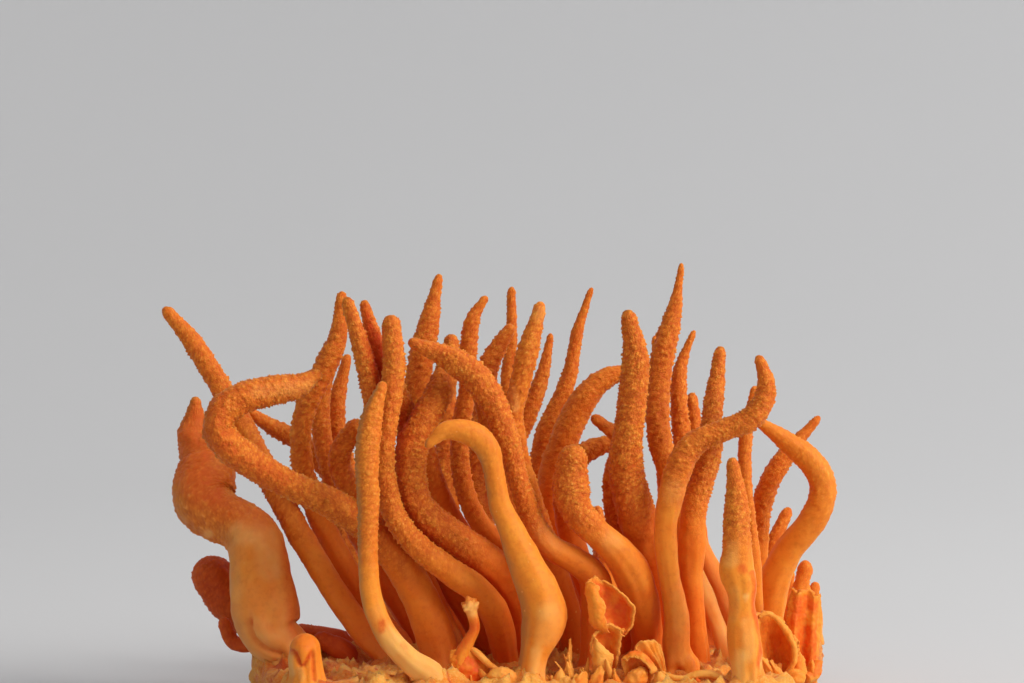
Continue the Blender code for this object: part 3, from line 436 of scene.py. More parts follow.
def smooth_rows(points, step):
    """Rows at an even step along one smooth curve through the points."""
    before = 2 * points[0] - points[1]
    beyond = 2 * points[-1] - points[-2]
    knots = np.vstack([before, points, beyond])
    gaps = np.sqrt(np.linalg.norm(np.diff(knots[:, :3], axis=0), axis=1))
    rows = [points[0]]
    for i in range(1, len(knots) - 2):
        last, here, following = gaps[i - 1 : i + 2]
        chord = (knots[i + 1] - knots[i]) / here
        leave = ((knots[i] - knots[i - 1]) / last * here + chord * last) / (last + here)
        arrive = ((knots[i + 2] - knots[i + 1]) / following * here + chord * following) / (following + here)
        for s in np.linspace(0.05, 1, 20):
            rows.append(
                (2 * s**3 - 3 * s**2 + 1) * knots[i]
                + (s**3 - 2 * s**2 + s) * here * leave
                + (3 * s**2 - 2 * s**3) * knots[i + 1]
                + (s**3 - s**2) * here * arrive
            )
    rows = np.array(rows)
    along = np.concatenate([[0], np.cumsum(np.linalg.norm(np.diff(rows[:, :3], axis=0), axis=1))])
    places = np.linspace(0, along[-1], max(4, round(along[-1] / step)) + 1)
    return np.column_stack([np.interp(places, along, column) for column in rows.T])


crowd = {name: smooth_rows(rows, 2.5)[:, :3] for name, rows in rings.items()}


def club_rows(node, step, rough_from, taper):
    """A club's dense rows with its flared, sunk foot, and its tapered tip.

    Returns the rows, how far each leans over the tip's pole, and its length from the mat. Where
    the club has no grains, two of three rows are left out.
    """
    drawn = rings[node]
    shaft = drawn[:-2]
    foot = shaft[0]
    sunk = foot + [0, 0, -FOOT_SINK, SUNK_FLARE * foot[3]]
    at_felt = foot + [0, 0, 0, FOOT_FLARE * foot[3]]
    rows = smooth_rows(np.vstack([sunk, at_felt, shaft[1:]]), step)
    heading = drawn[-1, :3] - shaft[-1, :3]
    heading /= np.linalg.norm(heading)
    reach = rows[-1, 3] * (TIP_REACH + 0.8 * taper)
    rows[:, 3] *= 1 - taper * ease(TAPER_LENGTH, 0, np.arange(len(rows))[::-1] * step)
    end = rows[-1]
    lean = np.linspace(0, math.pi / 2, max(4, round(reach * 1.6 / step)) + 1)[1:]
    tip = [[*(end[:3] + heading * reach * math.sin(a)), end[3] * math.cos(a)] for a in lean]
    start = rows[0] * [1, 1, 1, 0]
    rows = np.vstack([start, rows, tip])
    leans = np.concatenate([np.zeros(len(rows) - len(lean)), lean])
    steps = np.linalg.norm(np.diff(rows[:, :3], axis=0), axis=1)
    lengths = np.concatenate([[0], np.cumsum(steps)]) - FOOT_SINK
    kept = (lengths / lengths[-1] > rough_from - 0.16) | (np.arange(len(rows)) % 3 == 0)
    return rows[kept], leans[kept], lengths[kept]


def carried_frames(middles):
    """Two directions across the path at each row, carried along it without twisting."""
    ahead = np.gradient(middles, axis=0)
    ahead[0] = ahead[1]
    ahead /= np.maximum(np.linalg.norm(ahead, axis=1), 1e-9)[:, None]
    side = np.cross(ahead[0], [0.0, 1.0, 0.0] if abs(ahead[0, 1]) < 0.9 else [1.0, 0.0, 0.0])
    sides = []
    for direction in ahead:
        side = side - direction * (side @ direction)
        side /= np.linalg.norm(side)
        sides.append(side)
    sides = np.array(sides)
    return ahead, sides, np.cross(ahead, sides)


def way_round(angle, sides, ups):
    """The direction outwards at that angle round a path."""
    return np.cos(angle)[..., None] * sides + np.sin(angle)[..., None] * ups


def marked_grid(bm, across, tall):
    """Adds a flat grid that carries the marks, and says where each vert lies in it."""
    layers = [bm.verts.layers.float.get(name) or bm.verts.layers.float.new(name) for name in MARKS]
    verts = bmesh.ops.create_grid(bm, x_segments=across, y_segments=tall, size=0.5)["verts"]
    beside, along, _ = np.array([v.co for v in verts]).T + 0.5
    column, row = np.rint(beside * across).astype(int), np.rint(along * tall).astype(int)
    return verts, layers, beside, along, column, row


def place_verts(verts, layers, places, marks):
    """Moves each vert to its place and writes its marks."""
    for vert, place, *amounts in zip(verts, places, *(marks[name] for name in MARKS)):
        vert.co = Vector(place)
        for layer, amount in zip(layers, amounts):
            vert[layer] = amount


def paint_marks(values, places, out_way, marks):
    """Adds soft marks where they show in the photographed view: (kind, points, size, amount).

    The points are (across, up), and where there are more than one the mark runs through them.
    """
    across, up = in_view(places)
    facing = ease(0.1, -0.4, out_way[:, 1])
    for kind, points, size, amount in marks:
        line = smooth_line(points, 10 * len(points)) if len(points) > 1 else np.array(points)
        reach = np.hypot(across[:, None] - line[:, 0], up[:, None] - line[:, 1]).min(1)
        if kind == "swell":
            values[kind] += amount * (1 - ease(0, size, reach))
        else:
            spread = 1 - ease(0.35 * size, size, reach)
            values[kind] = np.clip(values[kind] + amount * spread * facing, 0, 1)


def shelter_on(node, rows, sides, ups, length, turns, row):
    """How much painted shade each vert of a club takes, worked out at a few places and filled in between."""
    count = max(4, round(length / SHELTER_STEP))
    sparse = np.unique(np.linspace(0, len(rows) - 1, count).astype(int))
    table = []
    for angle in np.linspace(0, math.tau, SHELTER_TURNS + 1):
        out = way_round(angle, sides[sparse], ups[sparse])
        table.append(sheltered_at(rows[sparse, :3] + out * (rows[sparse, 3:4] + 1.2), out, node))
    filled = np.array([np.interp(np.arange(len(rows)), sparse, line) for line in table])
    below = np.clip((turns * SHELTER_TURNS).astype(int), 0, SHELTER_TURNS - 1)
    part = turns * SHELTER_TURNS - below
    return filled[below, row] * (1 - part) + filled[below + 1, row] * part


def grow_club(node, step, seed, rough_from, strength, pale_to, taper=0.2, lumps=0.065,
              ripples=0.0, knob=0.0, dull=0.06, lit=0.0, marks=()):
    """A closed club bent along its path, with its grains, furrows and swellings raised."""
    rows, leans, lengths = club_rows(node, step, rough_from, taper)
    across = 2 * max(8, round(math.pi * np.median(rows[:, 3]) / step))
    bm = bmesh.new()
    verts, layers, _, _, turn, row = marked_grid(bm, across, len(rows) - 1)
    share = lengths[row] / lengths[-1]
    radius = rows[row, 3]
    angle = turn / across * math.tau
    ahead, sides, ups = carried_frames(rows[:, :3])
    round_way = way_round(angle, sides[row], ups[row])
    wobble = noise_at(rows[row, :3] + round_way * radius[:, None], 2.4, 11)
    grain = strength * ease(-0.12, 0.12, share - rough_from + 0.06 * wobble)
    pale = 1 - ease(-0.16, 0.16, share - pale_to + 0.08 * wobble)
    chance = np.random.default_rng(round(10 * seed) + 1).random((len(rows), across, 4))
    # one vert of each block of four stands up as a grain
    block = chance[row // 2 * 2, turn % across // 2 * 2, 3]
    chance = chance[row, turn % across]
    at_peak = row % 2 * 2 + turn % across % 2 == (4 * block).astype(int)
    grain_top = np.where(at_peak, 0.3 + 0.7 * chance[:, 0], 0.25 * chance[:, 0])
    loose = np.clip(grain, 0, 1) * np.clip(radius / 0.5, 0, 1)
    angle = angle + loose * (chance[:, 1] - 0.5) * 0.8 * math.tau / across
    round_way = way_round(angle, sides[row], ups[row])
    out_way = round_way * np.cos(leans[row])[:, None] + ahead[row] * np.sin(leans[row])[:, None]
    places = rows[row, :3] + round_way * radius[:, None]
    places += ahead[row] * (loose * (chance[:, 2] - 0.5) * 0.8 * step)[:, None]
    thin = np.clip(radius / 1.6, 0.5, 1)
    body = np.clip(radius / 0.9, 0, 1)
    swell = lumps * (noise_at(places, 4.2, 2) + 0.7 * noise_at(places, 1.7, 4))
    around = np.column_stack([np.cos(angle) * 2.6, np.sin(angle) * 2.6, lengths[row] / 7.0])
    furrow = noise_at(around, 1.0, seed) * (1 - grain) * (0.06 + 0.14 * ease(6, 0, lengths[row]))
    lift = radius * (swell + furrow) * body
    patchy = 0.8 + 0.7 * noise_at(places, 0.9, 21)
    wrapped = np.column_stack([np.cos(angle) * radius * 0.6, np.sin(angle) * radius * 0.6, lengths[row]])
    clump = domes_at(wrapped, 0.62)
    lift += thin * loose * (GRAIN_RISE * patchy * grain_top + CLUMP_RISE * clump - GRAIN_SINK)
    if ripples:
        wave = np.sin(lengths[row] / 1.1 * math.tau + 6.0 * noise_at(places, 2.6, 6))
        lift += ripples * wave * ease(0.3, 0.5, share) * body
    if knob:
        lift += knob * ease(0.86, 0.94, share) * (0.4 + 1.8 * domes_at(places, 0.55))
    values = {"grain": grain, "top": 0.55 * grain_top + 0.6 * clump, "pale": pale}
    values.update({name: np.zeros(len(verts)) for name in ("red", "cut", "swell")})
    # painted shade: the side that faces left, away from the key light, is darkened towards an olive brown
    values["dull"] = dull * ease(0.4, 1.0, -out_way[:, 0] + 0.15 * wobble)
    paint_marks(values, places, out_way, marks)
    places = places + out_way * (lift + values["swell"] - 0.45 * values["cut"])[:, None]
    values["painted_shade"] = shelter_on(node, rows, sides, ups, lengths[-1], turn / across, row) * (1 - lit)
    place_verts(verts, layers, places, values)
    bmesh.ops.remove_doubles(bm, verts=bm.verts, dist=1e-4)
    bmesh.ops.recalc_face_normals(bm, faces=bm.faces)
    return bm


def flesh_group():
    """Cordyceps flesh: light grains over deep orange, a smooth stem, a cream foot, red spots."""
    group, given, out = pattern_group("cordyceps_flesh", FLESH_LOOKS)
    grain = painted(group, "grain")
    # painted highlights and painted shade on the grains: their tops are lightened towards cream and the
    # valleys between them darkened towards deep red
    dome = ranged(group, painted(group, "top"), 0.0, 0.75)
    broad = spotted(group, 4.0, 2.0)
    fine = spotted(group, 0.8, 3.0, 0.6)
    patches = calculate(group, "MULTIPLY", ranged(group, broad, 0.38, 0.64), given["Mottle"])
    lit_grain = mix_colours(group, patches, given["Light"], given["Yellow"])
    tops = ranged(group, painted(group, "top"), 0.55, 0.95, 0.0, 0.55)
    lit_grain = mix_colours(group, tops, lit_grain, given["Cream"])
    sunk_grain = mix_colours(group, 0.9, given["Light"], given["Deep"])
    grains = mix_colours(group, dome, sunk_grain, lit_grain)
    stem = mix_colours(group, patches, given["Stem"], given["Yellow"])
    stem = mix_colours(group, ranged(group, fine, 0.48, 0.72, 0.0, 0.3), stem, given["Deep"])
    body = mix_colours(group, grain, stem, grains)
    creamed = ranged(group, broad, 0.3, 0.62, 0.45, 0.9)
    creamed = calculate(group, "MULTIPLY", painted(group, "pale"), creamed)
    body = mix_colours(group, creamed, body, given["Cream"])
    # painted shade: flesh that other clubs keep the light from is mixed towards a dark red
    shade = ranged(group, broad, 0.3, 0.7, 0.85, 1.0)
    shade = calculate(group, "MULTIPLY", painted(group, "painted_shade"), shade)
    body = mix_colours(group, shade, body, given["Painted Shade"])
    # painted shade on the sides that face away from the key light
    body = mix_colours(group, painted(group, "dull"), body, given["Side Shade"])
    reddened = calculate(group, "MULTIPLY", painted(group, "red"), ranged(group, fine, 0.3, 0.6, 0.6, 1.0))
    body = mix_colours(group, reddened, body, given["Red"])
    speck = ranged(group, granules(group, 1.5), 0.08, 0.14, 1.0, 0.0)
    speck = calculate(group, "MULTIPLY", speck, ranged(group, spotted(group, 2.2), 0.52, 0.6))
    body = mix_colours(group, calculate(group, "MULTIPLY", speck, given["Specks"]), body, given["Cream"])
    group.links.new(body, out["Colour"])
    group.links.new(ranged(group, fine, 0.3, 0.7, 0.66, 0.5), out["Roughness"])
    rough = calculate(group, "MULTIPLY", granules(group, 0.2), calculate(group, "MULTIPLY", grain, -0.8))
    height = calculate(group, "ADD", rough, calculate(group, "MULTIPLY", spotted(group, 0.3, 3.0), 0.4))
    group.links.new(height, out["Height"])
    return group


def grow_clubs(clubs, material, slot, step, first_seed, seed_gap, **shared):
    """Grows and finishes a group of clubs, each of which may have its own material, slot or step; the slot is
    not used.
    """
    for number, (club, (rough_from, strength, pale_to, *more)) in enumerate(clubs.items()):
        looks = {"material": material, "slot": slot, "step": step, **shared, **dict(*more)}
        made_of, kind = looks.pop("material"), looks.pop("slot")
        looks["seed"] = first_seed + seed_gap * number
        node = "club_" + club
        bm = grow_club(node, rough_from=rough_from, strength=strength, pale_to=pale_to, **looks)
        finish_piece(club, bm, made_of, node)


flesh = flesh_group()
granular = flesh_material("granular_flesh", flesh)
STOUT_SEAM = [(36.0, 16.6), (36.3, 14.0), (36.2, 11.5), (36.6, 9.4), (37.0, 7.8), (37.2, 5.5), (36.9, 2.5)]
# club: (share of its length where grains start, how strong they are, share that is cream below,
# its other looks). A mark is (kind, its places across and up the photographed view, size, amount).
GRANULAR_CLUBS = {
    "slim_front": (0.45, 0.7, 0.2, {
        "slot": "pale_club", "ripples": 0.035, "dull": 0.75, "taper": 0.1,
        "marks": [
            ("red", [(-19.6, 9.1), (-19.6, 8.0)], 0.8, 0.8), ("red", [(-16.4, 5.8), (-15.9, 5.3)], 0.6, 0.4),
            ("pale", [(-18.5, 7), (-13.5, 2)], 2.6, 0.6),
        ],
    }),
    "bent_left": (0.42, 1.0, -0.05, {"marks": [("pale", [(5.5, 22)], 4.0, 0.35)]}),
    "round_head": (0.66, 1.0, -0.05, {"taper": 0.0, "marks": [("pale", [(15.0, 21.0)], 2.5, 0.35)]}),
    "long_elbow": (0.5, 0.9, -0.15, {
        "marks": [
            # the two pale marks are painted highlights, one on the bend and one along the stem
            ("pale", [(24.4, 28.6)], 2.6, 0.4), ("pale", [(25.4, 14), (24.8, 4)], 2.0, 0.3),
            ("swell", [(23.9, 3.4), (23.4, 0)], 1.2, 0.6), ("swell", [(27.0, 3.4), (27.4, 0)], 1.2, 0.5),
            ("red", [(25.3, 2.0), (25.3, -1)], 0.9, 0.9), ("cut", [(25.3, 1.8), (25.3, -1)], 0.8, 1.0),
        ],
    }),
    "tall_rough": (0.42, 1.0, -0.1),
    "trio_left": (0.5, 1.0, 0.05, {"marks": [("pale", [(-12.6, 7.5)], 3.2, 0.4)]}),
    "trio_middle": (0.45, 1.0, -0.1),
    "long_s": (0.36, 0.9, -0.1, {"taper": 0.05}),
    "thick_s": (0.36, 1.0, -0.1, {"taper": 0.05}),
    "great_hook": (0.25, 0.95, -0.05, {
        "dull": 0.2, "taper": 0.0,
        "marks": [
            ("red", [(-44.6, 43), (-44.4, 37), (-41, 33), (-35, 30)], 2.6, 0.35),
            # the pale mark is a painted highlight along the top of the upper arm
            ("pale", [(-30, 44.6), (-38, 43.6)], 1.6, 0.3),
        ],
    }),
    "front_stout": (0.6, 0.9, 0.0, {
        "slot": "pale_club", "lumps": 0.05,
        "marks": [
            # the pale marks are partly cream blotches and partly painted highlights; the pale line beside the
            # seam is its own colour
            ("red", [(34.6, 17.1)], 1.1, 0.75), ("pale", [(33.2, 20.4), (33.0, 18.4)], 1.5, 0.5),
            ("pale", [(35.1, 12.9)], 0.7, 1.0), ("pale", [(33.4, 13.6), (33.2, 10.0)], 1.4, 0.25),
            ("pale", [(35.2, 9.0), (35.4, 4.0)], 1.4, 0.5), ("pale", [(34.0, 4.0), (33.6, 0)], 1.6, 0.5),
            ("swell", STOUT_SEAM, 0.5, 0.16), ("red", STOUT_SEAM, 0.55, 0.8),
            ("pale", [(across + 0.45, up) for across, up in STOUT_SEAM], 0.4, 0.9),
            ("swell", [(31.2, 17.0)], 3.4, 0.4), ("swell", [(32.4, 12.6)], 2.8, -0.3),
            ("swell", [(36.8, 15.0)], 2.8, 0.25), ("swell", [(36.6, 11.6)], 2.4, -0.2),
            ("swell", [(37.4, 6.0)], 3.8, 0.25), ("swell", [(32.2, 7.4)], 3.0, 0.15),
            ("swell", [(34.2, 10.6), (35.0, 9.4)], 1.2, -0.12),
            ("swell", [(34.6, 14.6), (33.8, 15.6)], 1.1, -0.1),
        ],
    }),
    "bumpy_right": (0.48, 1.0, -0.1),
    "thread": (0.4, 0.8, -0.1),
    "behind_rough": (0.5, 1.0, -0.1),
}
grow_clubs(GRANULAR_CLUBS, granular, "orange_club", STEP_NEAR, 0, 3.7)

# Smooth clubs in front
# Young clubs of the same flesh that haven't set their grains yet, so their skin is satin
# smooth and yellower, with faint streaks along it and a few white specks.

STEP_SMOOTH = 0.28
STEP_SMALL = 0.15
smooth_flesh = flesh_material(
    "smooth_flesh", flesh,
    {"Light": (0.88, 0.28, 0.022), "Stem": (0.88, 0.26, 0.018), "Yellow": (0.92, 0.35, 0.034),
     "Specks": 0.7},
    bump_depth=0.08,
)
STUB_CRACK = [(-33.4, 5.0), (-32.6, 4.6), (-32.2, 4.0), (-31.7, 2.7), (-31.0, 3.0), (-30.3, 4.3)]
SMOOTH_CLUBS = {
    "front_crook": (0.6, 0.3, -0.05, {
        "dull": 0.85,
        "marks": [
            ("pale", [(5.6, 10.5), (5.2, 7.5)], 2.6, 0.6), ("pale", [(3.6, 5), (3.4, 0)], 1.2, 0.9),
            ("pale", [(5.6, 2), (5.0, 0)], 2.0, 0.7),
        ],
    }),
    "smooth_thumb": (0.35, 0.9, -0.1, {
        "marks": [("pale", [(-0.4, 44.5), (0.4, 41.5)], 1.3, 0.6), ("pale", [(4.2, 55.4)], 1.8, 0.35)],
    }),
    "stub_left": (0.9, 0.1, -0.1, {
        "material": granular, "slot": "pale_club", "step": STEP_SMALL,
        "dull": 0.5, "taper": 0.0, "lumps": 0.05,
        "marks": [
            ("red", [(-31.4, 6.4)], 3.2, 0.3),
            ("pale", [(-33.4, 4.4), (-33.0, 1.6)], 0.9, 1.0),
            ("pale", [(-31.8, 2.0), (-31.4, 0.8)], 0.7, 0.6),
            ("cut", STUB_CRACK, 0.36, 1.0), ("red", STUB_CRACK, 0.45, 1.0),
            ("swell", [(-32.8, 3.6), (-32.6, 2.2)], 1.0, 0.3), ("swell", [(-31.2, 4.6)], 1.4, 0.3),
            ("cut", [(-29.9, 4.6), (-29.6, 0.5)], 0.4, 0.8), ("red", [(-29.9, 4.6), (-29.6, 0.5)], 0.6, 0.6),
        ],
    }),
    "sprout_with_knob": (0.9, 0.5, -0.1, {
        "step": STEP_SMALL,
        "knob": 0.45, "lumps": 0.12, "taper": 0.0,
        "marks": [
            ("pale", [(-6.1, 11.0)], 1.7, 1.0), ("red", [(-5.6, 8.6), (-7.4, 6.6), (-9.0, 4.6)], 1.6, 0.8),
        ],
    }),
    "right_sickle": (0.5, 0.45, -0.1),
}
grow_clubs(SMOOTH_CLUBS, smooth_flesh, "orange_club", STEP_SMOOTH, 50, 4.1)

# Pale clubs
# Two that grew in the shade of the others: the stout one at the left, beige in front and
# orange on top, and the thin cream one that leans at the right.

pale_flesh = flesh_material(
    "pale_flesh", flesh,
    {"Light": (0.88, 0.25, 0.024), "Stem": (0.86, 0.25, 0.026), "Yellow": (0.90, 0.34, 0.05),
     "Cream": (0.94, 0.42, 0.11), "Mottle": 0.7},
    0.35, 0.08,
)
FLAP_EDGE = [(-39.4, 9.3), (-38.9, 7.1), (-37.0, 5.2), (-34.6, 4.4)]
PALE_CLUBS = {
    "fat_pale": (0.42, 0.8, 0.16, {
        "dull": 0.45, "lumps": 0.035, "ripples": 0.03, "taper": 0.1,
        "marks": [
            ("red", [(-47, 38), (-48, 33), (-46, 30)], 5.0, 0.6), ("red", [(-43, 27), (-38, 25)], 3.4, 0.35),
            ("red", [(-39.1, 9.5)], 0.6, 1.0), ("pale", [(-38.2, 8.6), (-37.0, 6.9), (-35.2, 6.0)], 1.4, 1.0),
            ("cut", FLAP_EDGE, 0.6, 1.0), ("swell", [(-38.0, 9.4), (-36.8, 7.4), (-34.8, 6.4)], 1.9, 0.5),
            # the long pale mark below the shoulder is a painted highlight
            ("red", FLAP_EDGE, 0.5, 0.4), ("pale", [(-40.6, 22.5), (-37.4, 22), (-36.4, 17)], 2.6, 0.8),
            ("red", [(-33.4, 20), (-32.4, 12), (-32.2, 8)], 2.2, 0.6),
            ("swell", [(-48.6, 37.4)], 2.2, 0.7), ("pale", [(-45.6, 22.4)], 1.0, 1.0),
        ],
    }),
    "pale_leaner": (0.95, 0.2, 0.75, {
        "material": smooth_flesh, "lit": 0.9, "dull": 0.0, "lumps": 0.12,
        # the pale mark is a painted highlight down the lit front of the club
        "marks": [("pale", [(28.6, 12), (31.0, 4)], 2.4, 1.0)],
    }),
}
grow_clubs(PALE_CLUBS, pale_flesh, "pale_club", STEP_SMOOTH, 80, 5.3)

# Clubs behind them
# The same granular clubs, standing closer together, so that more of their flesh takes the painted shade of
# dark red where the others keep the light from it.

STEP_INNER = 0.28
inner_flesh = flesh_material(
    "inner_flesh", flesh,
    {"Light": (0.90, 0.265, 0.021), "Deep": (0.60, 0.085, 0.003), "Stem": (0.91, 0.25, 0.016),
     "Yellow": (0.95, 0.34, 0.032), "Cream": (0.90, 0.41, 0.09)},
)
INNER_CLUBS = {
    "tallest": (0.5, 1.0, 0.28, {"taper": 0.45}),
    "behind_tallest": (0.5, 1.0, 0.1, {"taper": 0.3}),
    "back_right_prong": (0.5, 1.0, 0.0, {"taper": 0.4}),
    "back_right_stub": (0.5, 1.0, 0.0),
    "right_cross": (0.4, 0.9, 0.0, {"taper": 0.3}),
    "right_small": (0.5, 0.8, 0.1),
    "edge_tall": (0.6, 0.6, 0.15, {
        "lumps": 0.3,
        "marks": [("red", [(40.3, 14.6), (40.8, 12.0)], 1.3, 0.9), ("red", [(42.6, 9), (42.2, 6)], 1.2, 0.6)],
    }),
    "edge_outer": (0.6, 0.6, 0.2, {
        "lumps": 0.24,
        "marks": [
            ("red", [(44.8, 11.4), (44.9, 9.6)], 1.0, 0.9), ("pale", [(45.9, 8.4), (46.1, 3.5)], 0.9, 0.9),
            ("red", [(46.0, 2.4)], 1.4, 0.7),
        ],
    }),
    "edge_inner": (0.6, 0.6, 0.1, {
        "lumps": 0.3, "marks": [("red", [(43.0, 13.5), (43.6, 10.0)], 1.2, 0.7)],
    }),
    "tall_back_left": (0.45, 1.0, 0.0, {"taper": 0.3}),
    "curved_back": (0.45, 1.0, 0.0, {"taper": 0.1}),
    "far_thin": (0.4, 1.0, 0.0, {"taper": 0.1}),
    "middle_leaner": (0.45, 1.0, 0.0),
    "far_prong": (0.4, 0.9, 0.0, {"taper": 0.35}),
    "far_arm": (0.5, 0.8, 0.0),
    "peeping_tip": (0.5, 1.0, 0.0),
    "cross_arm": (0.5, 1.0, 0.0),
    "far_left": (0.35, 0.9, 0.0, {"taper": 0.15}),
    "cross_left": (0.4, 0.9, 0.0),
    "back_left_tall": (0.4, 1.0, 0.0),
    "back_left_inner": (0.4, 1.0, 0.0),
    "back_left_red": (0.4, 1.0, 0.0),
}
grow_clubs(INNER_CLUBS, inner_flesh, "orange_club", STEP_INNER, 100, 2.9)

# Dark clubs
# Four stunted clubs low in the bunch, whose flesh is painted dark red-brown as painted shade for the shadow
# they stand in, and two that stand deep in the others' shade, of the same flesh as the clubs round them.

# painted shade: a darker, red-brown copy of the clubs' flesh
shaded_dark_flesh = flesh_material(
    "shaded_dark_flesh", flesh,
    {"Light": (0.72, 0.125, 0.008), "Deep": (0.42, 0.035, 0.002), "Stem": (0.56, 0.065, 0.003),
     "Yellow": (0.76, 0.16, 0.014), "Cream": (0.66, 0.2, 0.04), "Side Shade": (0.62, 0.12, 0.01)},
    0.25,
)
DARK_CLUBS = {
    "left_lump": (0.3, 0.6, -0.1),
    "left_finger": (0.5, 0.5, -0.1),
    "low_back_left": (0.5, 0.5, -0.1),
    "low_front_left": (0.5, 0.5, -0.1),
    "back_left_dark": (0.4, 1.0, -0.1, {"material": inner_flesh}),
    "dark_thumb": (0.4, 1.0, -0.1, {"material": inner_flesh}),
}
grow_clubs(DARK_CLUBS, shaded_dark_flesh, "shaded_club", STEP_INNER, 200, 3.3, taper=0.0)

# Clubs on the far side
# Shorter clubs that lean outwards behind the bunch, of the same flesh as those in front.

FAR_CLUBS = {
    "behind_left_outer": (0.5, 1.0, 0.15), "behind_left": (0.5, 1.0, 0.1), "behind_middle": (0.45, 1.0, 0.15),
    "behind_right": (0.5, 1.0, 0.1), "behind_right_outer": (0.5, 1.0, 0.15),
    "low_back_right": (0.6, 0.8, 0.25), "low_far_right": (0.6, 0.8, 0.25),
}
grow_clubs(FAR_CLUBS, granular, "orange_club", STEP_INNER, 300, 4.7)

# Torn skins
# Three thin skins of flesh that tore as they grew and stand on the mat between the clubs: a
# curled one, a ribbed fan and a cup, each cream along its torn rim and red inside its curl.

torn_skin = flesh_material(
    "torn_skin", flesh,
    {"Light": (0.93, 0.31, 0.024), "Stem": (0.91, 0.26, 0.017), "Yellow": (0.95, 0.38, 0.04),
     "Cream": (0.97, 0.44, 0.08), "Red": (0.82, 0.10, 0.006)},
    0.12, 0.1,
)
SHEET_STEP = 0.19
SOFT_FOLD_GAP = 1.3  # times its thickness, the most that a sheet's two faces may be apart
variety = np.random.default_rng(17)


def strew_marks(verts, layers, places, ways, marks):
    """Puts the verts in their places and writes their marks, with grains strewn over them."""
    marks["top"] = variety.random(len(verts))
    # painted shade, a quarter as strong as on the clubs
    marks["painted_shade"] = 0.25 * sheltered_at(places, ways)
    marks["dull"] = np.zeros(len(verts))
    place_verts(verts, layers, places, marks)


def add_sheet(bm, columns, thickness, torn=0.5, pleats=(0, 0.0), red=0.0, red_from=-1.0, pale=0.0,
              pale_rim=0.6):
    """Adds a thin closed sheet through columns of places, each from its root to its torn rim.

    Its hollow is red past the share red_from of its width, and pleats, as (how many, how deep),
    run from root to rim.
    """
    columns = [np.asarray(column, float) for column in columns]
    tall = max(np.linalg.norm(np.diff(column, axis=0), axis=1).sum() for column in columns)
    middles = np.array([column[len(column) // 2] for column in columns])
    wide = np.linalg.norm(np.diff(middles, axis=0), axis=1).sum()
    rows, across = max(6, round(tall / SHEET_STEP)), max(6, round(wide / SHEET_STEP))
    drawn = np.array([smooth_line(column, rows) for column in columns])
    drawn = np.array([smooth_line(drawn[:, j], across) for j in range(rows)])
    verts, layers, beside, along, column, row = marked_grid(bm, across - 1, rows - 1)
    places = drawn[row, column]
    seed = drawn[0, 0].sum()
    up_way = np.gradient(drawn, axis=0)[row, column]
    side_way = np.gradient(drawn, axis=1)[row, column]
    up_way /= np.linalg.norm(up_way, axis=1)[:, None] + 1e-9
    side_way /= np.linalg.norm(side_way, axis=1)[:, None] + 1e-9
    out_way = np.cross(side_way, up_way)
    along_rim = np.outer(beside * wide, (1, 0, 0))
    tear = torn * (noise_at(along_rim, 1.3, seed) + 0.8 * noise_at(along_rim, 0.4, seed + 5))
    tear = tear * ease(0.5, 1.0, along)
    along_side = np.outer(along * tall, (1, 0, 0))
    ragged = 0.4 * torn * noise_at(along_side, 0.7, seed + 9) * ease(0.7, 1.0, np.abs(2 * beside - 1))
    lift = 0.3 * noise_at(places, 1.6, 8) + 0.12 * noise_at(places, 0.55, 2)
    lift = lift + 0.03 * variety.normal(0, 1, len(verts))
    if pleats[0]:
        spread = np.column_stack([beside * 4, along * 1.5, np.zeros(len(verts))])
        fold = np.sin((beside * pleats[0] + 0.5 * noise_at(spread, 1.0, seed)) * math.tau)
        depth = 0.8 + 0.8 * noise_at(spread, 1.0, seed + 3)
        lift += pleats[1] * fold * depth * ease(0.0, 0.35, along)
    places = places + up_way * tear[:, None] + side_way * ragged[:, None] + out_way * lift[:, None]
    to_rim = np.minimum(np.minimum(beside, 1 - beside) * wide, (1 - along) * tall)
    to_rim = to_rim + 0.3 * noise_at(places, 0.8, 4)
    patch = ease(-0.5, 0.3, noise_at(places, 2.0, 6) + 0.3)
    strew_marks(verts, layers, places, out_way, {
        "grain": 0.5 * ease(0.7, 0.2, to_rim),
        "pale": np.maximum(pale_rim * (1 - ease(0.1, 0.7, to_rim)), pale * patch),
        "red": np.maximum(
            red * ease(0.4, 1.3, to_rim) * patch * ease(red_from - 0.08, red_from + 0.08, beside),
            # redder towards the root by the mat: painted shade
            0.5 * ease(0.55, 0.1, along) * ease(-0.6, 0.4, noise_at(places, 1.2, 27)),
        ),
    })
    # the faces keep one order, so that each run gives the same sheet
    faces = list(dict.fromkeys(face for vert in verts for face in vert.link_faces))
    bm.normal_update()
    drawn_verts = KDTree(len(verts))
    for i, vert in enumerate(verts):
        drawn_verts.insert(vert.co, i)
    drawn_verts.balance()
    thickened = bmesh.ops.solidify(bm, geom=faces, thickness=thickness)["geom"]
    # where the sheet is folded sharply, its other face is kept close to it
    for vert in (item for item in thickened if isinstance(item, bmesh.types.BMVert)):
        nearest, _, gap = drawn_verts.find(vert.co)
        if gap > SOFT_FOLD_GAP * thickness:
            vert.co = nearest + (vert.co - nearest) * (thickness / gap)


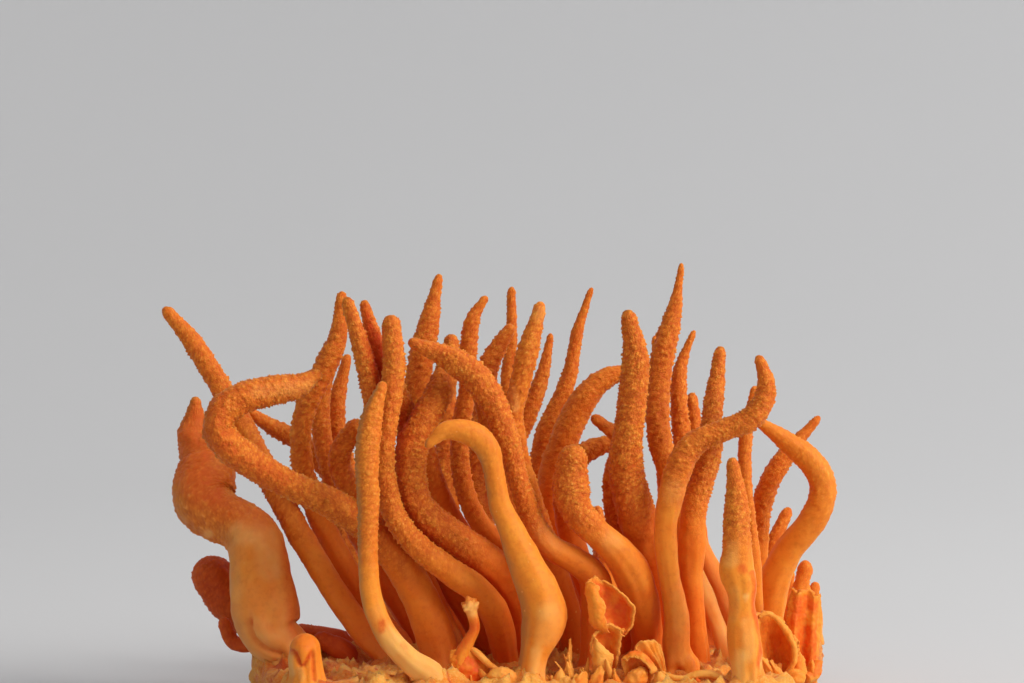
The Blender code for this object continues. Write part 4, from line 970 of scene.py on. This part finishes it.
def add_roll(bm, points, radii, pale=0.5, red=0.0, lumpy=0.15):
    """Adds a closed round roll, thread or lump along one smooth line through the places."""
    knots = np.column_stack([np.asarray(points, float), radii])
    length = np.linalg.norm(np.diff(knots[:, :3], axis=0), axis=1).sum()
    line = smooth_line(knots, max(6, round(length / SHEET_STEP)))
    line[:, 3] = np.maximum(line[:, 3], 0.02)
    line = np.vstack([line[0] * [1, 1, 1, 0], line, line[-1] * [1, 1, 1, 0]])
    across = max(6, round(math.tau * max(radii) / SHEET_STEP))
    verts, layers, beside, _, _, row = marked_grid(bm, across, len(line) - 1)
    _, sides, ups = carried_frames(line[:, :3])
    out_way = way_round(beside * math.tau, sides[row], ups[row])
    places = line[row, :3] + out_way * line[row, 3:4]
    bumps = noise_at(places, 0.9, 4) + noise_at(places, 0.35, 8)
    places += out_way * (line[row, 3] * lumpy * bumps)[:, None]
    strew_marks(verts, layers, places, out_way, {
        "grain": np.full(len(verts), 0.25),
        "pale": pale * ease(-0.7, 0.1, noise_at(places, 1.3, 6)),
        "red": red * ease(-0.5, 0.2, noise_at(places, 1.6, 3)),
    })
    bmesh.ops.remove_doubles(bm, verts=verts, dist=1e-4)


def seen(*places):
    """Places drawn in the photographed view, each as (across, up, depth)."""
    return [seen_at(*place) for place in places]


def seen_columns(*columns):
    """Columns of such places, one beside the other."""
    return [seen(*column) for column in columns]


def finish_skins(name, bm, node=None):
    """Turns the faces of a bmesh of sheets and rolls outwards and finishes it as one piece."""
    bmesh.ops.recalc_face_normals(bm, faces=bm.faces)
    finish_piece(name, bm, torn_skin, node)


bm = bmesh.new()
# the folded lip's free edge, its crown and its outer side, then the hollow back and the right rim
add_sheet(bm, seen_columns(
    [(14.6, 7.6, -31.4), (14.1, 8.9, -32.2), (13.8, 10.3, -32.5), (13.9, 11.5, -32.5), (13.3, 12.5, -32.5),
     (12.9, 13.3, -32.4), (13.0, 14.2, -32.0)],
    [(14.0, 7.6, -31.4), (13.1, 8.9, -32.7), (12.7, 10.3, -33.1), (12.7, 11.5, -33.1), (12.4, 12.7, -32.9),
     (12.2, 13.9, -32.6), (12.3, 15.0, -32.1)],
    [(13.6, 7.5, -31.0), (12.2, 8.9, -32.0), (11.7, 10.3, -32.2), (11.7, 11.6, -32.2), (11.5, 12.9, -32.1),
     (11.3, 14.0, -31.9), (11.4, 15.1, -31.5)],
    [(13.8, 7.4, -30.4), (12.6, 8.8, -31.0), (12.2, 10.4, -31.0), (12.2, 11.8, -31.0), (12.0, 13.1, -31.0),
     (11.9, 14.4, -30.9), (11.9, 15.7, -30.6)],
    [(14.6, 7.4, -30.0), (14.0, 8.8, -30.0), (13.8, 10.4, -29.8), (13.8, 11.9, -29.8), (13.4, 13.3, -30.0),
     (12.9, 14.6, -30.3), (12.6, 15.9, -30.3)],
    [(15.4, 7.5, -29.8), (15.6, 8.8, -29.2), (15.6, 10.3, -29.0), (15.5, 11.6, -29.0), (15.0, 12.9, -29.4),
     (14.1, 14.2, -29.8), (13.5, 15.3, -30.0)],
    [(16.2, 7.6, -30.0), (17.0, 8.7, -29.6), (17.3, 10.1, -29.3), (17.3, 11.3, -29.4), (16.6, 12.4, -29.6),
     (15.4, 13.6, -30.0), (14.6, 14.6, -30.2)],
    [(16.8, 7.3, -30.8), (17.7, 8.6, -30.8), (18.1, 10.0, -30.8), (18.2, 11.2, -30.8), (17.6, 12.2, -30.8),
     (16.3, 13.6, -30.8), (15.2, 14.3, -30.8)],
), 0.32, torn=0.22, red=0.9, red_from=0.45, pale_rim=0.35)
# the lower pocket's back, and the pale cheek in front of it
add_sheet(bm, seen_columns(
    [(12.8, 2.6, -31.2), (12.1, 4.6, -32.0), (12.1, 6.2, -32.3), (12.6, 7.2, -32.2)],
    [(13.2, 2.4, -30.4), (13.0, 4.6, -30.8), (13.0, 6.6, -31.0), (13.4, 8.1, -31.8)],
    [(14.0, 2.2, -30.0), (14.0, 4.4, -29.9), (14.0, 6.8, -30.2), (14.3, 8.8, -31.7)],
    [(14.8, 2.2, -30.2), (15.0, 4.4, -30.0), (15.1, 6.6, -30.2), (15.3, 8.5, -31.5)],
    [(15.2, 1.6, -30.8), (15.7, 4.0, -31.2), (16.2, 6.0, -31.4), (16.7, 7.6, -31.4)],
), 0.4, torn=0.12, red=0.7, pale_rim=0.6)
add_sheet(bm, seen_columns(
    [(12.2, -0.8, -30.8), (12.0, 1.8, -31.6), (12.0, 3.8, -32.3), (12.1, 5.6, -32.6), (12.3, 6.8, -32.4)],
    [(13.0, -0.8, -31.4), (12.8, 1.6, -32.3), (12.8, 3.4, -33.1), (13.0, 4.8, -33.4), (13.2, 6.0, -33.0)],
    [(13.9, -0.8, -31.6), (13.9, 1.4, -32.2), (13.9, 3.0, -32.9), (14.0, 4.2, -33.0), (14.2, 5.0, -32.7)],
    [(14.9, -0.8, -31.2), (14.9, 1.2, -31.6), (15.0, 2.6, -32.0), (15.2, 3.6, -32.0), (15.3, 4.2, -31.8)],
), 0.4, torn=0.12, pale=0.9, pale_rim=0.9)
add_roll(
    bm, seen((16.9, 7.0, -31.6), (16.3, 7.3, -31.9), (16.3, 7.9, -32.0), (16.8, 8.1, -31.8),
             (17.0, 7.7, -31.5)),
    (0.1, 0.13, 0.13, 0.12, 0.06), 0.8,
)
add_roll(bm, seen((14.9, 0.8, -32.6), (14.6, 2.0, -33.0), (14.1, 3.6, -33.2)), (0.5, 0.4, 0.12), 0.9)
finish_skins("curled_skin", bm, "skin_curl")

bm = bmesh.new()
add_sheet(bm, seen_columns(
    [(22.9, 0.4, -31.0), (21.6, 2.0, -31.3), (20.0, 3.6, -31.8), (18.5, 5.0, -32.2)],
    [(23.0, 0.4, -31.1), (21.9, 2.6, -31.6), (20.6, 4.6, -32.0), (19.4, 6.1, -32.5)],
    [(23.1, 0.4, -31.2), (22.2, 3.0, -31.5), (21.3, 5.0, -31.8), (20.5, 6.6, -32.1)],
    [(23.2, 0.4, -31.2), (22.5, 3.0, -31.2), (22.0, 4.8, -31.3), (21.6, 6.2, -31.4)],
    [(23.3, 0.4, -31.2), (22.9, 2.6, -31.0), (22.6, 4.2, -30.9), (22.4, 5.6, -30.8)],
), 0.35, torn=0.45, pleats=(4.5, 0.26), pale=0.45, pale_rim=0.9)
finish_skins("ribbed_skin", bm, "skin_fan")

bm = bmesh.new()
add_sheet(bm, seen_columns(
    [(39.4, 0.6, -22.6), (37.9, 3.4, -22.8), (36.9, 6.6, -23.2), (36.6, 10.2, -23.6)],
    [(39.7, 0.4, -21.6), (38.6, 3.4, -20.8), (38.2, 6.6, -20.6), (38.2, 10.6, -22.2)],
    [(40.1, 0.3, -21.2), (39.6, 3.2, -19.8), (39.6, 6.2, -19.6), (39.8, 9.6, -21.6)],
    [(40.6, 0.4, -21.6), (40.8, 3.0, -20.6), (41.0, 5.6, -20.6), (41.3, 7.6, -22.2)],
    [(41.0, 0.6, -22.6), (41.9, 2.4, -23.0), (42.4, 4.2, -23.4), (42.4, 5.8, -23.8)],
), 0.7, torn=0.25, red=0.5, pale_rim=0.5)
add_roll(
    bm, seen((37.0, 9.9, -23.4), (38.4, 10.4, -23.2), (40.0, 9.3, -23.2), (41.3, 7.4, -23.6),
             (42.3, 5.4, -24.0), (42.3, 3.2, -24.0), (41.2, 1.4, -23.6), (40.2, 0.6, -23.4)),
    (0.3, 0.4, 0.42, 0.48, 0.46, 0.42, 0.42, 0.3), 0.4,
)
finish_skins("cupped_skin", bm, "skin_cup")

# Flakes and wisps on the mat
# Torn flakes, rolls, lumps and wisps of dried mycelium, mostly thinner than a millimetre. They
# are part of the mat and stand along its rim and between the feet, paler towards their edges.

WISPS = 14
SCATTERED = 110
CLEAR_OF_FEET = 0.7
FRONT_RIM = -27.0  # the flakes in front of this depth are listed one by one


def add_leaf(bm, root, tip, width, belly, side, red=0.0, pale=0.3):
    """Adds a cupped, twisted leaf of skin that stands between two places, no two alike."""
    root, tip, side = np.asarray(root, float), np.asarray(tip, float), np.asarray(side, float)
    rise = tip - root
    side = side - rise * (side @ rise) / (rise @ rise)
    side /= np.linalg.norm(side)
    out = np.cross(side, rise / np.linalg.norm(rise))
    twist, skew = variety.normal(0, 0.5), variety.normal(0, 0.2)
    neck, head = variety.uniform(0.45, 1.0), variety.uniform(0.3, 1.0)
    columns = []
    for beside in (-1, -0.5, 0, 0.5, 1):
        column = []
        for along, spread in ((0, neck), (0.35, 1.0), (0.7, 0.5 + head / 2), (1, head)):
            turned = side * math.cos(twist * along) + out * math.sin(twist * along)
            bow = belly * (math.sin(along * math.pi) - 0.9 * beside**2)
            climbed = rise * along * (1 - 0.15 * beside**2 + skew * beside)
            column.append(root + climbed + turned * beside * width / 2 * spread + out * bow)
        columns.append(column)
    pleats = (variety.integers(0, 3), 0.05 + 0.03 * width)
    add_sheet(bm, columns, variety.uniform(0.18, 0.32), 0.14 * width + 0.1, pleats, red, pale=pale)


# (root and tip as across, up, depth in the photographed view; width, belly, redness, paleness)
SEEN_LEAVES = [
    ((-3.2, -0.6, -32.2), (-4.6, 2.0, -32.0), 1.8, 0.5, 0.2, 0.6),
    ((1.4, -1.4, -33.4), (1.8, 0.9, -33.4), 2.6, 0.5, 0.1, 0.7),
    ((8.0, -1.0, -32.2), (8.5, 5.4, -31.0), 1.7, 0.3, 0.0, 0.5),
    ((9.0, -1.0, -32.0), (8.2, 4.0, -31.6), 1.4, 0.3, 0.2, 0.3),
    ((10.9, -0.8, -31.6), (11.5, 3.8, -31.2), 1.1, 0.2, 0.2, 0.2),
    ((6.6, -1.2, -33.2), (7.3, 1.9, -33.2), 2.4, 0.6, 0.1, 0.8),
    ((4.6, -1.2, -33.6), (4.3, 1.2, -33.8), 2.0, 0.4, 0.3, 0.5),
    ((9.6, -1.4, -33.6), (10.6, 1.6, -33.6), 2.6, 0.7, 0.6, 0.2),
    ((12.0, -1.4, -33.6), (13.8, 1.8, -33.2), 2.4, 0.6, 0.7, 0.3),
    ((16.0, -1.2, -33.4), (15.6, 1.9, -33.2), 1.6, 0.4, 0.6, 0.3),
    ((22.6, -1.2, -33.6), (22.3, 1.6, -33.4), 2.2, 0.6, 0.2, 0.8),
    ((31.4, -0.4, -30.8), (30.4, 1.8, -30.6), 2.4, 0.5, 0.5, 0.3),
    ((28.6, -0.4, -30.6), (28.9, 2.2, -30.2), 2.0, 0.5, 0.7, 0.2),
    ((39.6, 0.2, -25.4), (37.3, 4.0, -25.8), 1.9, 0.5, 0.1, 0.8),
    ((41.0, -0.6, -25.6), (38.9, 2.6, -26.0), 1.9, 0.5, 0.2, 0.6),
    ((44.6, -0.6, -22.0), (44.9, 3.4, -22.0), 2.0, 0.6, 0.7, 0.2),
    ((42.8, 0.0, -23.0), (43.4, 4.6, -22.6), 2.8, 0.8, 0.4, 0.3),
    ((-29.6, 0.2, -22.6), (-29.2, 1.7, -23.0), 1.6, 0.4, 0.6, 0.2),
    ((-27.2, -0.4, -24.0), (-26.6, 1.3, -24.4), 2.0, 0.5, 0.1, 0.8),
    ((-24.8, -0.6, -25.0), (-25.2, 0.9, -25.4), 1.6, 0.4, 0.5, 0.4),
    ((-22.0, -0.6, -26.0), (-21.6, 0.8, -26.4), 1.9, 0.4, 0.3, 0.7),
    ((-18.7, -0.8, -27.0), (-18.1, 0.7, -27.4), 2.2, 0.4, 0.1, 0.9),
    ((-15.6, -0.6, -28.0), (-15.9, 0.9, -28.4), 1.8, 0.4, 0.6, 0.3),
]
# (places as across, up, depth in the photographed view; radii, paleness, redness)
SEEN_ROLLS = [
    # the ear-shaped lobe's soft middle
    ([(17.0, -1.2, -33.1), (18.2, 0.1, -33.2), (19.2, 1.3, -33.1), (19.6, 2.4, -32.8)],
     (1.0, 1.4, 1.3, 0.5), 0.6, 0.2),
    # the cream ridge along the rim, and its two red pits
    ([(22.4, 1.5, -31.6), (24.2, 0.8, -32.6), (26.0, 0.7, -33.0), (27.5, 1.2, -33.1), (29.4, 1.4, -33.1),
      (31.2, 0.8, -33.2), (33.4, 0.2, -33.0), (35.2, 0.9, -32.4)],
     (0.4, 0.45, 0.5, 0.6, 0.6, 0.5, 0.45, 0.3), 1.0, 0.0),
    ([(27.5, 0.5, -33.5), (28.2, 0.1, -33.6)], (0.42, 0.3), 0.0, 1.0),
    ([(34.4, 0.7, -33.0), (35.0, 0.2, -33.0)], (0.4, 0.3), 0.0, 1.0),
    # the sprout's cream strip, its pink edge and the pale lump beside it
    ([(-6.4, 5.3, -30.9), (-5.3, 4.6, -31.4), (-4.1, 3.4, -31.6), (-3.0, 2.5, -31.7), (-2.0, 2.0, -31.6)],
     (0.25, 0.48, 0.5, 0.45, 0.25), 1.0, 0.0),
    ([(-9.1, 2.9, -31.9), (-8.4, 1.4, -32.2), (-7.0, -0.8, -32.4)], (0.1, 0.17, 0.2), 1.0, 0.0),
    ([(-6.2, 1.2, -32.2), (-6.0, -0.6, -32.4)], (0.12, 0.2), 0.9, 0.0),
    ([(-4.2, 0.0, -32.8), (-2.4, 0.8, -33.0), (-0.8, 0.8, -33.0), (0.6, -0.4, -33.0)],
     (0.5, 1.35, 1.4, 0.8), 1.0, 0.0),
    # lumps at the right end of the rim
    ([(41.2, 0.2, -24.4), (42.4, 0.8, -24.2), (43.6, 0.4, -23.8)], (0.9, 1.45, 0.9), 0.1, 0.2),
    ([(44.2, 0.6, -22.6), (45.4, 1.6, -21.6), (46.0, 3.2, -20.6)], (0.8, 1.0, 0.6), 0.3, 0.6),
    ([(36.4, 0.0, -28.6), (37.6, 0.6, -28.0), (38.6, 0.2, -27.4)], (0.6, 0.9, 0.6), 0.2, 0.6),
]
bm = bmesh.new()
for root, tip, width, belly, red, pale in SEEN_LEAVES:
    add_leaf(bm, seen_at(*root), seen_at(*tip), width, belly, (1, 0, 0), red, pale)
for places, radii, pale, red in SEEN_ROLLS:
    add_roll(bm, seen(*places), radii, pale, red)
add_sheet(bm, seen_columns(
    [(17.4, -1.0, -32.6), (16.9, 1.0, -32.2), (16.6, 3.0, -32.6), (16.8, 3.5, -33.2), (17.2, 3.2, -33.5)],
    [(18.2, -1.0, -32.4), (17.8, 1.8, -31.9), (17.7, 3.9, -32.4), (17.9, 4.3, -33.2), (18.1, 3.8, -33.6)],
    [(19.0, -1.0, -32.4), (19.0, 2.0, -31.9), (19.1, 4.1, -32.5), (19.1, 4.3, -33.3), (19.0, 3.7, -33.7)],
    [(19.8, -1.0, -32.4), (20.2, 1.4, -32.0), (20.4, 3.1, -32.6), (20.4, 3.3, -33.4), (20.0, 2.8, -33.8)],
    [(20.6, -1.0, -32.6), (21.0, 0.8, -32.3), (21.3, 1.6, -32.8), (21.3, 1.7, -33.4), (20.8, 1.4, -33.8)],
), 0.35, torn=0.12, red=0.7, pale_rim=0.6)
for _ in range(WISPS):
    across, depth = variety.uniform(4.6, 11.2), variety.uniform(-33.2, -31.6)
    height = variety.uniform(0.9, 1.9) + 2.2 * math.exp(-((across - 9.7) / 0.7) ** 2)
    tip = seen_at(across + variety.normal(-0.3, 0.4) * height, height, depth - 0.3)
    add_leaf(
        bm, seen_at(across, -1.0, depth), tip, variety.uniform(0.3, 0.7), variety.uniform(0.05, 0.2),
        (1, variety.normal(0, 0.5), 0), variety.uniform(0, 0.6), variety.uniform(0.0, 0.4),
    )
add_sheet(bm, seen_columns(
    [(-7.4, -0.8, -31.4), (-8.6, 1.6, -31.7), (-9.3, 3.4, -31.6), (-9.3, 5.0, -31.2)],
    [(-6.6, -0.8, -31.9), (-7.4, 1.4, -32.2), (-7.9, 3.2, -32.1), (-7.8, 4.9, -31.6)],
    [(-5.2, -0.8, -31.6), (-5.8, 1.2, -31.9), (-6.3, 3.0, -31.8), (-6.6, 4.8, -31.4)],
    [(-3.8, -0.8, -31.2), (-4.0, 0.8, -31.4), (-4.6, 2.4, -31.3), (-5.6, 4.3, -31.1)],
    [(-2.6, -0.8, -31.0), (-2.8, 0.8, -31.0), (-3.4, 2.2, -31.0), (-4.6, 3.8, -30.9)],
), 0.35, torn=0.15, red=1.0, pale_rim=0.2)
# the folded wall of skin round the stubs at the right end
add_sheet(bm, seen_columns(
    [(40.8, 1.0, -19.0), (41.0, 6.0, -19.2), (41.2, 10.4, -19.0), (41.8, 14.2, -18.6)],
    [(42.0, 1.0, -20.2), (42.3, 5.5, -20.4), (42.6, 10.0, -20.0), (43.0, 13.6, -19.4)],
    [(43.2, 1.0, -18.6), (43.6, 5.0, -18.8), (44.0, 9.8, -18.6), (44.4, 14.0, -18.2)],
    [(44.4, 1.0, -19.6), (44.9, 5.0, -19.6), (45.2, 9.0, -19.2), (45.5, 13.0, -18.6)],
    [(45.4, 1.0, -18.2), (46.1, 4.5, -18.2), (46.4, 9.0, -17.8), (46.4, 13.4, -17.4)],
), 0.8, torn=0.14, red=0.85, pale_rim=0.1)
finish_skins("rim_flakes", bm)

bm = bmesh.new()
for turn in np.linspace(0, math.tau, SCATTERED, endpoint=False):
    turn += variety.normal(0, 0.03)
    way = np.array([math.cos(turn), math.sin(turn), 0.0])
    inset = variety.uniform(1.0, 7.5)
    root = np.array([*MAT_MIDDLE, 7.5]) + way * (rim_reach(way, 7.0) - inset)
    height, width = variety.uniform(0.9, 3.2), variety.uniform(1.0, 3.4)
    near_foot = (np.linalg.norm(feet[:, :2] - root[:2], axis=1) - feet[:, 3]).min()
    if near_foot < CLEAR_OF_FEET or (root[1] < FRONT_RIM and -32 < root[0] < 44):
        continue
    tip = root + [0, 0, height] + way * variety.uniform(-0.8, 1.4)
    if variety.random() < 0.3:
        middle = root + [0, 0, 0.5 * height] + variety.normal(0, 0.5, 3)
        add_roll(
            bm, [root - [0, 0, 0.6], middle, middle + (tip - root) * 0.4],
            (0.35 * width, 0.3 * width, 0.1 * width), variety.uniform(0.1, 0.9), variety.uniform(0, 0.6),
        )
        continue
    side = np.array([-way[1], way[0], 0]) + variety.normal(0, 0.5, 3)
    add_leaf(bm, root, tip, width, 0.15 * width, side, variety.uniform(0, 0.7), variety.uniform(0.1, 0.8))
finish_skins("scattered_flakes", bm)

# The studio
# A round pale sweep that curves up behind the bunch, a large soft light from the upper right in
# front, and a second one that brightens the right of the sweep. The camera stands half a metre
# in front, at the photograph's angle.

SENSOR = 36.0
SWEEP_FLAT = 0.35
SWEEP_REACH = 1.9
SWEEP_HEIGHT = 1.5
SWEEP_STEPS = 96
PAPER_GREY = (0.62, 0.62, 0.625)
PAPER_MOTTLE = 1000 / 3
AIR_GREY = (0.93, 0.93, 0.94, 1)
AIR_STRENGTH = 0.6


def paper_material():
    """Plain matt paper, mottled so faintly that it hardly shows."""
    material = bpy.data.materials.new("pale_paper")
    material.use_nodes = True
    tree = material.node_tree
    shader = tree.nodes["Principled BSDF"]
    lighter = tuple(c * 1.03 for c in PAPER_GREY)
    paper = mix_colours(tree, spotted(tree, PAPER_MOTTLE), PAPER_GREY, lighter)
    tree.links.new(paper, shader.inputs["Base Color"])
    shader.inputs["Roughness"].default_value = 0.9
    return material


def soft_light(name, place, target, watts, colour):
    """A round soft light, 0.7 m across, that shines from its place towards the target."""
    lamp = bpy.data.lights.new(name, "AREA")
    lamp.shape = "DISK"
    lamp.size = 0.7
    lamp.energy = watts
    lamp.color = colour
    light = bpy.data.objects.new(name, lamp)
    light.location = place
    light.rotation_euler = (Vector(target) - Vector(place)).to_track_quat("-Z", "Y").to_euler()
    bpy.context.scene.collection.objects.link(light)


profile = [(0.0, 0.0), (SWEEP_FLAT, 0.0)]
for a in np.linspace(0.03, math.pi / 2, 30):
    reach = SWEEP_FLAT + (SWEEP_REACH - SWEEP_FLAT) * math.sin(a)
    profile.append((reach, SWEEP_HEIGHT * (1 - math.cos(a))))
new_object("pale_sweep", turned(profile, SWEEP_STEPS), paper_material())
soft_light("key_light", (0.75, -0.42, 0.62), (0, 0, 0.04), 9.2, (1.0, 0.98, 0.95))
soft_light("backdrop_light", (1.0, 0.35, 1.1), (0.9, 1.6, 0.3), 5.0, (1.0, 1.0, 1.0))
world = bpy.data.worlds.new("studio_air")
world.use_nodes = True
air = world.node_tree.nodes["Background"].inputs
air["Color"].default_value = AIR_GREY
air["Strength"].default_value = AIR_STRENGTH
bpy.context.scene.world = world
bpy.context.scene.view_settings.view_transform = "Standard"

lens = bpy.data.cameras.new("camera")
lens.sensor_width = SENSOR
lens.lens = VIEW_DISTANCE * SENSOR / VIEW_WIDTH
camera = bpy.data.objects.new("camera", lens)
camera.location = (
    0,
    (VIEW_DEPTH - VIEW_DISTANCE * math.cos(VIEW_TILT)) * MM,
    (VIEW_MIDDLE_HEIGHT + VIEW_DISTANCE * math.sin(VIEW_TILT)) * MM,
)
camera.rotation_euler = (math.pi / 2 - VIEW_TILT, 0, 0)
bpy.context.scene.collection.objects.link(camera)
bpy.context.scene.camera = camera
